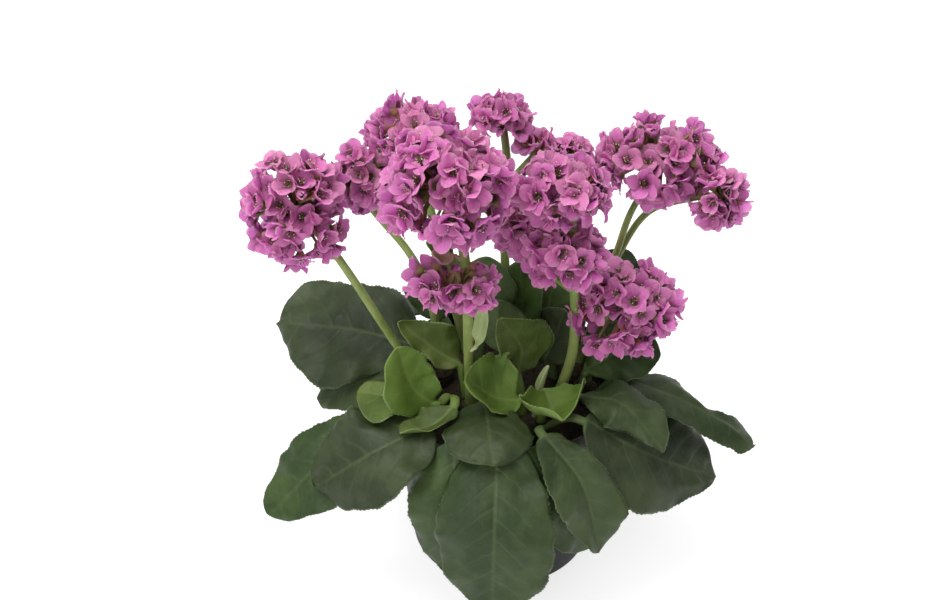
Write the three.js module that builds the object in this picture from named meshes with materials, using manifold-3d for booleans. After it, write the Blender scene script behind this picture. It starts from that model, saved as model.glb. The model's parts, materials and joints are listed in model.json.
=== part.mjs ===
// A bergenia in flower, growing in a round nursery pot of 13 cm.
// Millimetres, +Z up. The origin is the centre of the pot's underside, and the plant's front looks along -Y.
// The object is a plastic pot, the potting soil in it, one branched rhizome that lies in the soil, the leaves
// and flower stalks that rise from the rhizome's shoots, and a head of bell-shaped flowers on each stalk.
import * as THREE from "three";
import { mergeVertices } from "three/addons/utils/BufferGeometryUtils.js";
import Module from "manifold-3d";

const wasm = await Module();
wasm.setup();

// Clearance that touching pieces keep
const GAP = 0.3;

// Pot: a tapered plastic wall with a turned-out rim, and a flat base with a drain channel under each hole
const POT = {
  height: 110,
  baseRadius: 50,
  shoulderRadius: 61,
  rimRadius: 65,
  rimHeight: 10,
  wall: 1.6,
  floor: 2.4,
  footBevel: 1.5,
  edgeRound: 0.5,
  drainHoles: 6,
  drainRadius: 5,
  drainReach: 38,
  drainSides: 9,
  channelReach: 16,
  channelWidth: 7,
  channelDepth: 1.2,
  sides: 28,
};

// Soil: fills the pot to below the rim and rises a little towards the plant
const SOIL = {
  edgeHeight: 90,
  slopeHeight: 92.5,
  slopeReach: 0.72,
  crownHeight: 94,
  crownReach: 0.35,
  middleHeight: 93.2,
};

// Rhizome: one creeping stem that curls round in the soil, with a short upright shoot under each tuft
const RHIZOME = {
  stemRadius: 5,
  stemHeight: 87,
  stemSides: 5,
  shootRadius: 7.5,
  tipRadius: 4.5,
  shootFoot: 82,
  shoulderHeight: 101,
  shootTop: 104,
  shootSides: 7,
};
const SHOOTS = {
  left: [-38, -3],
  front_left: [-17, -14],
  front: [13, -30],
  right: [29, -9],
  right_low: [45, 3],
  right_far: [41, 19.5],
  back_right: [27, 18],
  back: [4, 32],
  back_left: [-18, 28],
  left_back: [-34, 18],
};

// Leaf: a round petiole that runs on as the rib under a thin, leathery, broadly obovate blade
const LEAF = {
  footReach: 7.6,
  footDepth: 5,
  lift: 5,
  petioleHalfWidth: 2.6,
  petioleRise: 1.5,
  petioleKeel: 2.3,
  opens: 0.3,
  bladeThickness: 1.3,
  ribDepth: 2.2,
  ribReach: 0.33,
  widestPower: 1.16,
  roundness: 0.56,
  tooth: 0.7,
  toothedOver: 20,
  waves: 2.4,
  waveShift: 0.37,
};

// How finely a blade is drawn: its columns from margin to margin, and its rows from neck to tip
const LARGE_LEAF = {
  overWidth: 44,
  columns: [-1, -0.66, -0.33, 0, 0.33, 0.66, 1],
  bladeRows: [0.05, 0.14, 0.27, 0.42, 0.58, 0.74, 0.87, 0.96],
};
const SMALL_LEAF = { columns: [-1, -0.5, 0, 0.5, 1], bladeRows: [0.07, 0.2, 0.4, 0.62, 0.81, 0.94] };

// Each leaf leaves its shoot at an angle from +X. Then come its neck, where the blade begins, its middle and
// its tip, its width, and how the blade is held: roll turns it about its midrib, fold is the slope of each
// half at the midrib, curl what the margin adds to it, and wave the height of the margin's waves. Angles are
// in degrees. A leaf that isn't even has halves: how wide each half is, as a share of the usual outline, at
// equal steps from neck to tip. Opens is the share of the blade over which it opens from the round petiole.
// Fold, curl and halves are given for the clockwise and the anticlockwise half, seen from above.
const LEAVES = [
  // the skirt that hangs over the rim at the front
  {
    name: "leaf_front", shoot: "front", from: -135,
    neck: [-3, -62, 119], middle: [-5, -96, 90], tip: [-6, -103, 37],
    width: 62, fold: [0, -4], curl: [-18, -14], wave: 1,
    halves: [[1, 1, 1, 1.1, 1.5], [1, 0.95, 0.95, 1.1, 1.5]],
  },
  {
    name: "leaf_front_under", shoot: "front_left", from: -80,
    neck: [-24, -61, 115.5], middle: [-29, -82, 82], tip: [-30, -80, 42],
    width: 37, roll: 6, fold: [6, 2], curl: [-16, -10], wave: 1,
    halves: [[1.3, 1.3, 1.15, 1, 1], [1, 1, 1, 1, 1]],
  },
  {
    name: "leaf_front_right", shoot: "front", from: -58,
    neck: [20, -60, 119], middle: [40, -77, 101], tip: [50, -84, 59],
    width: 41, roll: 6, fold: [17, 14], curl: [-4, -8], wave: 1.8,
    halves: [[0.8, 0.9, 0.95, 0.8, 0.5], [0.8, 0.6, 0.65, 1, 0.95]],
  },
  {
    name: "leaf_front_right_low", shoot: "front", from: -95,
    neck: [11, -65, 114.5], middle: [32, -76, 86], tip: [45, -72, 50],
    width: 36, fold: [2, 2], curl: [-10, -10], wave: 1,
  },
  // the left side
  {
    name: "leaf_left_front", shoot: "front_left", from: -122,
    neck: [-39, -47, 115.5], middle: [-68, -63, 110], tip: [-99, -60, 83],
    width: 58, roll: -8, fold: [3, 2], curl: [-12, -16], wave: 2.5,
    halves: [[1, 1, 1, 1, 1], [1, 1, 0.9, 0.9, 0.9]],
  },
  {
    name: "leaf_left_front_low", shoot: "left", from: -130,
    neck: [-60, -34, 115], middle: [-96, -50, 92], tip: [-125, -57, 60],
    width: 46, roll: -10, fold: [6, -4], curl: [-8, -14], wave: 2,
    halves: [[1, 0.85, 0.85, 0.9, 0.9], [1, 0.95, 0.95, 0.9, 0.8]],
  },
  {
    name: "leaf_left_low", shoot: "left", from: -175,
    neck: [-58, -8, 116], middle: [-78, -4, 108], tip: [-102, 2, 92],
    width: 40, roll: -16, fold: [4, 4], curl: [-12, -10], wave: 1.5,
    halves: [[1, 1, 1, 1, 1], [0.7, 0.7, 0.7, 0.7, 0.7]],
  },
  {
    name: "leaf_left_back", shoot: "left", from: 110,
    neck: [-48, 10, 122], middle: [-84, 20, 127], tip: [-125, 38, 115],
    width: 68, roll: -28, fold: [0, 2], curl: [-14, -10], wave: 2.5,
    halves: [[1.3, 1.1, 0.8, 1.05, 1.8], [0.7, 0.85, 1.05, 0.9, 0.5]],
  },
  {
    name: "leaf_left_young", shoot: "left", from: -82,
    neck: [-48, -29, 118], middle: [-62, -30, 121], tip: [-77, -27, 121],
    width: 26, roll: -14, fold: [4, 10], curl: [8, 10], wave: 1.2,
    halves: [[0.4, 0.4, 0.45, 0.7, 0.9], [1.2, 1.4, 1.6, 1.5, 1.2]],
  },
  {
    name: "leaf_left_bright", shoot: "front_left", from: 153,
    neck: [-35, -34.5, 119.5], middle: [-48, -36, 132], tip: [-55, -36, 158],
    width: 36, roll: -82, fold: [4, 2], curl: [44, 8], wave: 0.6, opens: 0.12,
    halves: [[0.9, 0.8, 0.75, 0.8, 1], [0.4, 0.65, 0.95, 1, 1.2]],
  },
  {
    name: "leaf_left_folded", shoot: "front_left", from: -164, lift: 8,
    neck: [-26.5, -42.5, 123], middle: [-38, -52, 119], tip: [-54, -56, 118],
    width: 26, roll: -6, fold: [0, 24], curl: [10, 40], wave: 1,
    halves: [[0.7, 0.7, 0.7, 0.8, 0.9], [0.6, 0.6, 0.6, 0.6, 0.6]],
  },
  {
    name: "leaf_left_curled", shoot: "front_left", from: 108,
    neck: [-24, -4, 121], middle: [-38, 0, 130], tip: [-56, 4, 144],
    width: 36, roll: -50, fold: [4, 10], curl: [30, 40], wave: 1.5,
    halves: [[0.5, 0.8, 0.9, 0.6, 0.5], [0.5, 0.5, 0.35, 0.4, 0.5]],
  },
  // the middle
  {
    name: "leaf_centre_front", shoot: "front_left", from: -40,
    neck: [-10, -34, 119], middle: [-8, -63, 125], tip: [-6, -81, 117],
    width: 46, fold: [2, -4], curl: [-16, -18], wave: 1,
  },
  {
    name: "leaf_cup_left", shoot: "front", from: -176,
    neck: [8, -34, 120.5], middle: [-5, -36, 125], tip: [-20, -39, 140],
    width: 44, roll: -32, fold: [2, 6], curl: [44, 40], wave: 1.2, opens: 0.12,
    halves: [[1.2, 1.15, 1.1, 1.1, 1.6], [0.5, 0.55, 0.65, 0.75, 1.1]],
  },
  {
    name: "leaf_cup_right", shoot: "front", from: 22,
    neck: [22, -26, 121], middle: [26, -40, 118], tip: [30, -54, 125],
    width: 46, roll: 0, fold: [8, 10], curl: [62, 62], wave: 1, opens: 0.1,
    halves: [[1.1, 1, 1, 1.1, 1.3], [1.1, 1.05, 1.05, 1.15, 1.3]],
  },
  {
    name: "leaf_centre_back", shoot: "front", from: 110,
    neck: [7.5, -13, 123], middle: [9, -8, 137], tip: [-2, -12, 158],
    width: 38, fold: [6, 6], curl: [30, 30], wave: 1.6,
    halves: [[0.6, 0.7, 0.95, 0.9, 0.5], [0.6, 0.7, 0.8, 0.8, 0.7]],
  },
  {
    name: "leaf_bud", shoot: "front", from: 66, lift: 1,
    neck: [18.5, -21.5, 114], middle: [21, -21, 124], tip: [23.5, -21, 134],
    width: 5, stem: 1.7, fold: [30, 30], curl: [50, 50], wave: 0,
  },
  // the right side
  {
    name: "leaf_right_curled", shoot: "right", from: -60,
    neck: [42, -29, 119], middle: [62, -41, 124], tip: [83, -60, 108],
    width: 30, roll: 12, fold: [-2, 0], curl: [-30, -20], wave: 2,
    halves: [[0.4, 0.8, 1.1, 0.5, 0.7], [1, 0.95, 0.95, 1.15, 1.2]],
  },
  {
    name: "leaf_right_front", shoot: "front", from: -18,
    neck: [42, -46, 117], middle: [77, -51, 98], tip: [115, -38, 71],
    width: 62, roll: 20, fold: [-12, -6], curl: [-14, -8], wave: 2,
    halves: [[1.1, 1.1, 1, 0.8, 0.5], [0.9, 0.9, 1, 1.3, 1.9]],
  },
  {
    name: "leaf_right", shoot: "right_low", from: -40,
    neck: [66, -14, 118], middle: [98, -21, 109], tip: [135, -27, 84],
    width: 42, roll: 6, fold: [6, -8], curl: [-16, -20], wave: 3,
    halves: [[0.8, 0.8, 0.7, 0.65, 1.3], [0.75, 0.9, 0.65, 0.35, 2]],
  },
  {
    name: "leaf_right_back", shoot: "right_low", from: -120,
    neck: [46, -4, 117], middle: [62, 1, 124], tip: [85, 0, 125],
    width: 38, roll: 16, fold: [8, 40], curl: [-6, -20], wave: 1.5,
  },
  // the upright leaves behind, which show their faces
  {
    name: "leaf_upright_left", shoot: "back_left", from: -50,
    neck: [-9, 22, 127], middle: [-8, 30, 146], tip: [-8, 37, 163],
    width: 34, fold: [8, 8], curl: [4, 4], wave: 1,
  },
  {
    name: "leaf_upright_middle", shoot: "back", from: -60,
    neck: [10, 22, 124], middle: [11, 27, 143], tip: [10, 33, 163],
    width: 28, fold: [12, 12], curl: [6, 6], wave: 1,
  },
  {
    name: "leaf_upright_right", shoot: "back_right", from: 110,
    neck: [25, 30, 122], middle: [27, 36, 141], tip: [34, 43, 156],
    width: 35, fold: [8, 8], curl: [4, 4], wave: 1,
  },
  {
    name: "leaf_dark_right", shoot: "back_right", from: -80,
    neck: [24, 8, 116], middle: [29, 10, 130], tip: [33, 15, 144],
    width: 34, fold: [4, 4], curl: [4, 4], wave: 1,
  },
  {
    name: "leaf_dark_left", shoot: "back", from: -120,
    neck: [0, 8, 122], middle: [-2, 10, 137], tip: [-3, 14, 151],
    width: 28, fold: [6, 6], curl: [4, 4], wave: 1,
  },
  {
    name: "leaf_tall_right", shoot: "right_far", from: 30,
    neck: [56, 31, 124], middle: [62, 42, 140], tip: [68, 51, 158],
    width: 36, fold: [6, 6], curl: [4, 4], wave: 1, lift: 8,
  },
  {
    name: "leaf_tall_left", shoot: "left_back", from: 120,
    neck: [-36, 32, 124], middle: [-38, 42, 138], tip: [-43, 47, 151],
    width: 30, fold: [6, 6], curl: [4, 4], wave: 1,
  },
  // the skirt at the back, out of the picture
  {
    name: "leaf_back_left_low", shoot: "back_left", from: 130,
    neck: [-38, 52, 116], middle: [-58, 78, 104], tip: [-74, 98, 66],
    width: 58, fold: [4, 4], curl: [-12, -12], wave: 2,
  },
  {
    name: "leaf_back_low", shoot: "back", from: 95,
    neck: [2, 62, 116], middle: [0, 94, 98], tip: [-4, 112, 54],
    width: 60, fold: [4, 4], curl: [-12, -12], wave: 2,
  },
  {
    name: "leaf_back_right_low", shoot: "right_far", from: 85,
    neck: [46, 50, 116], middle: [67, 74, 104], tip: [86, 92, 68],
    lift: 9, width: 56, fold: [4, 4], curl: [-12, -12], wave: 2,
  },
];

// Bract: a small leaf that grows from a flower stalk
const BRACTS = [
  {
    name: "bract_pale", stalk: "middle", foot: [-17, -24, 147],
    neck: [-14.5, -24.5, 150.5], middle: [-12, -24.5, 163], tip: [-10, -25, 179],
    width: 8, stem: 1.5, lift: 0, roll: 80, fold: [20, 20], curl: [20, 20], wave: 0.5,
  },
  {
    name: "bract_green", stalk: "middle", foot: [-21, -29, 205],
    neck: [-26, -28, 208], middle: [-32, -27, 213], tip: [-39, -26, 218],
    width: 10, stem: 1.4, lift: 0, roll: -30, fold: [10, 10], curl: [10, 10], wave: 0.5,
  },
  {
    name: "bract_tan", stalk: "middle", foot: [-20, -31, 210],
    neck: [-26, -33, 214], middle: [-31, -36, 216], tip: [-36, -39, 220],
    width: 9, stem: 1.4, lift: 0, roll: -40, fold: [10, 10], curl: [10, 10], wave: 0.5,
  },
];

// Flower stalk: a fleshy stem that starts on its shoot and thins towards its head
const STALK = {
  footDepth: 4,
  footRadius: 3.3,
  topRadius: 2.5,
  branchRadius: 2,
  tipRadius: 1.6,
  sides: 6,
  steps: 4,
  branchSteps: 3,
};

// Each stalk's share of the thickness, its way up, and where it forks, each branch's way on from there.
const STALKS = [
  { name: "left", shoot: "left", stout: 0.8, way: [[-56, -3, 132], [-84, -3, 188], [-105, 0, 220]] },
  {
    name: "left_back",
    shoot: "left_back",
    stout: 0.75,
    way: [[-39, 22, 146], [-50, 25, 174], [-69, 31, 198], [-77, 34, 214]],
  },
  {
    name: "back_left",
    shoot: "back_left",
    stout: 0.9,
    way: [[-29, 29, 150], [-40, 32, 205], [-48, 40, 240]],
  },
  {
    name: "middle",
    shoot: "front_left",
    way: [[-18, -20, 132], [-20, -30, 208], [-27, -33, 250]],
    branches: [[[-20, -28, 176], [-27, -36, 198]]],
  },
  {
    name: "back",
    shoot: "back",
    stout: 0.85,
    way: [[1, 42, 170], [2, 45, 215], [-1, 47, 246]],
    branches: [
      [[2, 44, 205], [11, 40, 220], [19, 39, 231]],
      [[3, 43, 190], [24, 38, 212], [36, 37, 229]],
    ],
  },
  {
    name: "right",
    shoot: "right",
    stout: 0.95,
    way: [[37, -12, 141], [35, -17, 200], [32, -15, 240]],
    branches: [[[36, -15, 178], [22, -6, 186], [10, -1, 206]]],
  },
  {
    name: "right_back",
    shoot: "back_right",
    stout: 0.7,
    way: [[50, 25, 145], [60, 28, 170], [68, 32, 197], [84, 40, 223]],
  },
  {
    name: "right_far",
    shoot: "right_far",
    stout: 0.7,
    way: [[54, 31, 140], [62, 34, 165.5], [77, 32, 196], [104, 26, 210]],
  },
  { name: "right_low", shoot: "right_low", stout: 0.9, way: [[50, 11, 124], [58, 18, 142], [65, -6, 164]] },
];

// Flower: a bell of five petals on a short cup, drawn out into its stem
const FLOWER = {
  petals: 5,
  notchReach: 0.7,
  notchDrop: 0.15,
  throatDrop: 0.45,
  cupReach: 0.26,
  cupDrop: 0.8,
  stemDrop: 1.45,
};

// A head: how uneven its flowers are, and the round core that they stand on
const UNEVEN = { turn: 0.3, reach: 0.16, size: 0.16 };
const CORE = { fineOver: 10, leastShare: 0.4 };
const GOLDEN_ANGLE = Math.PI * (3 - Math.sqrt(5));

// The flower heads. Each is a ball of flowers round a core: its centre, how far the flowers' mouths reach
// along X, Y and Z, the flowers' number and radius, and the angle they cover about the way the head looks.
const HEADS = [
  {
    name: "left", centre: [-105, 0, 219], reach: [26, 24, 34],
    flowers: 17, petal: 10, cover: 145, looks: [-0.3, -0.3, 0.9],
  },
  {
    name: "left_back", centre: [-74, 34, 215], reach: [15, 14, 18],
    flowers: 7, petal: 9, cover: 140, looks: [-0.2, -0.4, 0.9],
  },
  {
    name: "back_left", centre: [-48, 40, 239], reach: [24, 19, 16],
    flowers: 9, petal: 9.6, cover: 120, looks: [0, 0, 1],
  },
  {
    name: "middle", centre: [-29.5, -33, 253], reach: [33, 30, 31],
    flowers: 19, petal: 11.8, cover: 135, looks: [0, -0.4, 0.9],
  },
  {
    name: "middle_low", centre: [-25, -38, 203], reach: [24, 20, 15],
    flowers: 7, petal: 9.6, cover: 105, looks: [-0.1, -0.4, -0.9],
  },
  {
    name: "back_top", centre: [-1, 46, 246], reach: [15, 13, 10],
    flowers: 6, petal: 8, cover: 100, looks: [0, -0.2, 1],
  },
  {
    name: "back_middle", centre: [18, 39, 230], reach: [9, 9, 9],
    flowers: 5, petal: 7.4, cover: 95, looks: [0.2, 0.85, 0.5],
  },
  {
    name: "back_right", centre: [35, 36, 228], reach: [9, 9, 9],
    flowers: 4, petal: 7.6, cover: 100, looks: [0.7, 0.2, 0.6],
  },
  {
    name: "right_top", centre: [29, -15, 241], reach: [24, 19, 17],
    flowers: 10, petal: 10.2, cover: 130, looks: [0.1, -0.5, 0.8],
  },
  {
    name: "right_front", centre: [31, -20, 206], reach: [20, 17, 17],
    flowers: 8, petal: 10.2, cover: 125, looks: [0.2, -0.9, 0.3],
  },
  {
    name: "right_inner", centre: [10, -1, 207], reach: [13, 11, 15],
    flowers: 6, petal: 8.6, cover: 125, looks: [-0.3, -0.8, 0],
  },
  {
    name: "right_back", centre: [81, 40, 223], reach: [32, 26, 22],
    flowers: 16, petal: 10, cover: 135, looks: [0, -0.3, 1],
  },
  {
    name: "right_far", centre: [112, 18, 211], reach: [14, 13, 14],
    flowers: 6, petal: 9, cover: 110, looks: [0.7, -0.4, 0],
  },
  {
    name: "right_low", centre: [62, -8, 163], reach: [29, 26, 26],
    flowers: 16, petal: 9.8, cover: 135, looks: [0.2, -0.4, 0.9],
  },
];

const PLASTIC = new THREE.MeshStandardMaterial({ color: 0x26272a, roughness: 0.55, metalness: 0 });
const EARTH = new THREE.MeshStandardMaterial({ color: 0x2b2019, roughness: 1, metalness: 0 });
const BARK = new THREE.MeshStandardMaterial({ color: 0x5a3f2b, roughness: 0.85, metalness: 0 });
const LEAF_GREEN = new THREE.MeshStandardMaterial({ color: 0x3c5233, roughness: 0.45, metalness: 0 });
const STALK_GREEN = new THREE.MeshStandardMaterial({ color: 0x6f8a3a, roughness: 0.5, metalness: 0 });
const PETAL_PINK = new THREE.MeshStandardMaterial({ color: 0xc263b4, roughness: 0.6, metalness: 0 });

const vector = ([x, y, z]) => new THREE.Vector3(x, y, z);
const radians = THREE.MathUtils.degToRad;

function solidOf(geometry) {
  const bare = geometry.clone();
  bare.deleteAttribute("normal");
  bare.deleteAttribute("uv");
  const merged = mergeVertices(bare, 1e-4);
  return new wasm.Manifold(
    new wasm.Mesh({
      numProp: 3,
      vertProperties: merged.attributes.position.array,
      triVerts: new Uint32Array(merged.index.array),
    }),
  );
}

function meshOf(solid, name, material) {
  const { numVert, numProp, vertProperties, triVerts } = solid.getMesh();
  const position = new Float32Array(numVert * 3);
  for (let i = 0; i < numVert; i++) {
    position.set(vertProperties.subarray(i * numProp, i * numProp + 3), i * 3);
  }
  const geometry = new THREE.BufferGeometry();
  geometry.setAttribute("position", new THREE.BufferAttribute(position, 3));
  geometry.setIndex(new THREE.BufferAttribute(new Uint32Array(triVerts), 1));
  geometry.computeVertexNormals();
  const mesh = new THREE.Mesh(geometry, material);
  mesh.name = name;
  return mesh;
}

// The largest body of a solid: what a cut leaves loose is dropped.
function largestBody(solid) {
  return solid.decompose().reduce((a, b) => (b.volume() > a.volume() ? b : a));
}

// A closed skin through rings of points, with a fan at each end. The quads of a ring's first half are split
// along one diagonal and those of its second half along the other, so a blade's two faces are split alike.
function loft(rings, start, end) {
  const size = rings[0].length;
  const points = [start, ...rings.flat(), end];
  const at = (ring, k) => 1 + ring * size + (k % size);
  const last = rings.length - 1;
  const index = [];
  for (let k = 0; k < size; k++) {
    index.push(0, at(0, k), at(0, k + 1));
    index.push(points.length - 1, at(last, k + 1), at(last, k));
  }
  for (let ring = 0; ring < last; ring++) {
    for (let k = 0; k < size; k++) {
      const [a, b, c, d] = [at(ring, k), at(ring, k + 1), at(ring + 1, k), at(ring + 1, k + 1)];
      if (k < size / 2) index.push(a, c, d, a, d, b);
      else index.push(a, c, b, b, c, d);
    }
  }
  const geometry = new THREE.BufferGeometry();
  geometry.setAttribute("position", new THREE.Float32BufferAttribute(points.flatMap((p) => p.toArray()), 3));
  geometry.setIndex(index);
  return geometry;
}

// A round tube along a path, with its radius going from one end's to the other's.
function tube(path, startRadius, endRadius, sides, steps) {
  const curve = new THREE.CatmullRomCurve3(path, false, "catmullrom", 0.5);
  const rings = [];
  for (let i = 0; i <= steps; i++) {
    const share = i / steps;
    const centre = curve.getPoint(share);
    const forward = curve.getTangent(share);
    const side = new THREE.Vector3(1, 0, 0).addScaledVector(forward, -forward.x).normalize();
    const across = new THREE.Vector3().crossVectors(forward, side);
    const radius = THREE.MathUtils.lerp(startRadius, endRadius, share);
    const ring = [];
    for (let k = 0; k < sides; k++) {
      const turn = (-2 * Math.PI * k) / sides;
      const point = centre.clone().addScaledVector(side, radius * Math.cos(turn));
      ring.push(point.addScaledVector(across, radius * Math.sin(turn)));
    }
    rings.push(ring);
  }
  return solidOf(loft(rings, curve.getPoint(0), curve.getPoint(1)));
}

// A solid turned about +Z from a profile of [radius, height] pairs that starts and ends on the axis.
function turned(profile, sides) {
  const points = profile.map(([radius, height]) => new THREE.Vector2(radius, height));
  return solidOf(new THREE.LatheGeometry(points, sides).rotateX(Math.PI / 2));
}

function wallRadius(height) {
  const share = height / (POT.height - POT.rimHeight);
  return THREE.MathUtils.lerp(POT.baseRadius, POT.shoulderRadius, Math.min(share, 1));
}

function pot() {
  const { height, rimRadius, rimHeight, wall, floor, footBevel, edgeRound, sides } = POT;
  const shoulder = height - rimHeight;
  let body = turned(
    [
      [0, 0],
      [wallRadius(0) - footBevel, 0],
      [wallRadius(0), footBevel],
      [wallRadius(shoulder), shoulder],
      [rimRadius - edgeRound, shoulder],
      [rimRadius, shoulder + rimHeight / 2],
      [rimRadius - edgeRound, height],
      [rimRadius - wall - edgeRound, height],
      [wallRadius(shoulder) - wall, shoulder - wall],
      [wallRadius(floor) - wall - footBevel, floor],
      [0, floor],
    ],
    sides,
  );
  for (let i = 0; i < POT.drainHoles; i++) {
    const turn = (2 * Math.PI * (i + 0.5)) / POT.drainHoles;
    const hole = new THREE.CylinderGeometry(POT.drainRadius, POT.drainRadius, 4 * floor, POT.drainSides);
    hole.rotateX(Math.PI / 2).translate(POT.drainReach, 0, 0).rotateZ(turn);
    const channel = new THREE.BoxGeometry(POT.channelReach, POT.channelWidth, 2 * POT.channelDepth);
    channel.translate(POT.drainReach + POT.channelReach / 2, 0, 0).rotateZ(turn);
    body = body.subtract(solidOf(hole)).subtract(solidOf(channel));
  }
  return body;
}

function soil() {
  const { wall, floor, footBevel, sides } = POT;
  const { edgeHeight, slopeHeight, slopeReach, crownHeight, crownReach, middleHeight } = SOIL;
  const inside = (z) => wallRadius(z) - wall - GAP;
  return turned(
    [
      [0, floor + GAP],
      [inside(floor) - footBevel, floor + GAP],
      [inside(edgeHeight), edgeHeight],
      [inside(edgeHeight) * slopeReach, slopeHeight],
      [inside(edgeHeight) * crownReach, crownHeight],
      [0, middleHeight],
    ],
    sides,
  );
}

// The rhizome, or with a margin the hollow that it lies in.
function rhizome(margin = 0) {
  const { stemRadius, stemHeight, stemSides, shootSides } = RHIZOME;
  const { shootRadius, tipRadius, shootFoot, shoulderHeight, shootTop } = RHIZOME;
  const places = Object.values(SHOOTS).map(([x, y]) => new THREE.Vector3(x, y, stemHeight));
  const stem = tube(places, stemRadius + margin, stemRadius + margin, stemSides, 2 * (places.length - 1));
  const profile = [
    [0, shootFoot - margin],
    [shootRadius + margin, shootFoot - margin],
    [shootRadius + margin, shoulderHeight],
    [tipRadius + margin, shootTop + margin],
    [0, shootTop + margin],
  ];
  const shoot = turned(profile, shootSides);
  return places.reduce((whole, { x, y }) => whole.add(shoot.translate([x, y, 0])), stem);
}

// How far one half of a blade's section has gone sideways and up, a share of the way to its margin.
function sectionPoint(share, fold, curl) {
  if (Math.abs(curl) < 1e-3) return [share * Math.cos(fold), share * Math.sin(fold)];
  const end = fold + curl * share;
  return [(Math.sin(end) - Math.sin(fold)) / curl, (Math.cos(fold) - Math.cos(end)) / curl];
}

// Where a leaf starts: on the rim of its shoot, or at a bract's own foot.
function footOf({ shoot, from, foot }) {
  if (foot) return vector(foot);
  const [x, y] = SHOOTS[shoot];
  const turn = radians(from);
  const { footReach, footDepth } = LEAF;
  return new THREE.Vector3(
    x + footReach * Math.cos(turn),
    y + footReach * Math.sin(turn),
    RHIZOME.shootTop - footDepth,
  );
}

// What a half's width is multiplied by at a place on the blade: its shares stand at equal steps along it.
function shareAt(shares, blade) {
  if (!shares) return 1;
  const points = shares.map((share) => new THREE.Vector3(share, 0, 0));
  return new THREE.CatmullRomCurve3(points, false, "catmullrom", 0.5).getPoint(blade).x;
}

function leafSolid(leaf) {
  const { petioleHalfWidth, petioleRise, petioleKeel, bladeThickness, ribDepth, ribReach } = LEAF;
  const { widestPower, roundness, tooth, toothedOver, waves, waveShift } = LEAF;
  const { width, roll = 0, lift = LEAF.lift, fold, curl, wave, stem = petioleHalfWidth } = leaf;
  const { halves = [], opens = LEAF.opens } = leaf;
  const foot = footOf(leaf);
  const [neck, middle, tip] = [leaf.neck, leaf.middle, leaf.tip].map(vector);
  const elbow = foot.clone().lerp(neck, 0.5).add(new THREE.Vector3(0, 0, lift));
  const curve = new THREE.CatmullRomCurve3([foot, elbow, neck, middle, tip], false, "catmullrom", 0.5);
  const outward = middle.clone().add(tip).multiplyScalar(0.5).sub(foot).setZ(0).normalize();
  const level = new THREE.Vector3(-outward.y, outward.x, 0);
  const stout = stem / petioleHalfWidth;
  const { columns, bladeRows } = width > LARGE_LEAF.overWidth ? LARGE_LEAF : SMALL_LEAF;
  const shares = [0, 0.25, ...bladeRows.map((row) => (1 + row) / 2)];

  const rings = shares.map((share, row) => {
    const blade = Math.max(0, 2 * share - 1);
    const open = THREE.MathUtils.smoothstep(blade, 0, opens);
    const centre = curve.getPoint(share);
    const forward = curve.getTangent(share);
    const side = level.clone().addScaledVector(forward, -level.dot(forward)).normalize();
    side.applyAxisAngle(forward, radians(roll) * open);
    const up = new THREE.Vector3().crossVectors(forward, side);
    const outline = Math.sin(Math.PI * blade ** widestPower) ** roundness;
    const notch = blade > 0.1 && width > toothedOver ? tooth * (row % 2 ? 1 : -1) : 0;
    const halfWidth = (shares) => stem * (1 - blade) + (width / 2) * outline * shareAt(shares, blade) + notch;

    const point = (column, face) => {
      const [hand, away] = [Math.sign(column), Math.abs(column)];
      const which = column < 0 ? 0 : 1;
      const half = halfWidth(halves[which]);
      const slope = radians(fold[which]) * open;
      const bend = radians(curl[which]) * open;
      const [across, rise] = sectionPoint(away, slope, bend);
      const ripple = wave * open * away ** 2 * Math.sin(2 * Math.PI * (waves * blade + waveShift * which));
      const lean = slope + bend * away;
      const normal = up.clone().multiplyScalar(Math.cos(lean)).addScaledVector(side, -hand * Math.sin(lean));
      const stemDepth = (face > 0 ? petioleRise : petioleKeel) * stout * Math.sqrt(1 - away ** 2);
      const rib = face < 0 ? ribDepth * stout * (1 - blade) * Math.max(0, 1 - away / ribReach) : 0;
      const bladeDepth = (bladeThickness / 2) * (1 - away ** 3) + rib;
      return centre
        .clone()
        .addScaledVector(side, hand * across * half)
        .addScaledVector(up, rise * half + ripple)
        .addScaledVector(normal, face * THREE.MathUtils.lerp(stemDepth, bladeDepth, open));
    };
    const above = columns.map((column) => point(column, 1));
    const below = columns.slice(1, -1).reverse().map((column) => point(column, -1));
    return [...above, ...below];
  });
  return solidOf(loft(rings, curve.getPoint(0), curve.getPoint(1)));
}

// One flower: petal tips and notches round a throat, the cup behind them, and the flower stem's end.
function flowerGeometry(radius) {
  const { petals, notchReach, notchDrop, throatDrop, cupReach, cupDrop, stemDrop } = FLOWER;
  const step = (2 * Math.PI) / petals;
  const around = (reach, drop, turn) => [reach * Math.cos(turn), reach * Math.sin(turn), -drop];
  const points = [[0, 0, -throatDrop], [0, 0, -stemDrop]];
  for (let k = 0; k < petals; k++) {
    points.push(around(1, 0, k * step));
    points.push(around(notchReach, notchDrop, (k + 0.5) * step));
    points.push(around(cupReach, cupDrop, k * step));
  }
  const [throat, end] = [0, 1];
  const index = [];
  for (let k = 0; k < petals; k++) {
    const [tip, notch, cup] = [2 + 3 * k, 3 + 3 * k, 4 + 3 * k];
    const next = 2 + 3 * ((k + 1) % petals);
    index.push(throat, tip, notch, throat, notch, next);
    index.push(tip, cup, notch, notch, cup, next + 2, notch, next + 2, next);
    index.push(cup, end, next + 2);
  }
  const geometry = new THREE.BufferGeometry();
  geometry.setAttribute("position", new THREE.Float32BufferAttribute(points.flat(), 3));
  geometry.setIndex(index);
  return geometry.scale(radius, radius, radius);
}

// Evenly random numbers from 0 to 1, the same on each run.
function randomFrom(seed) {
  let state = seed;
  return () => {
    state = (state * 1664525 + 1013904223) % 4294967296;
    return state / 4294967296;
  };
}

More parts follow.
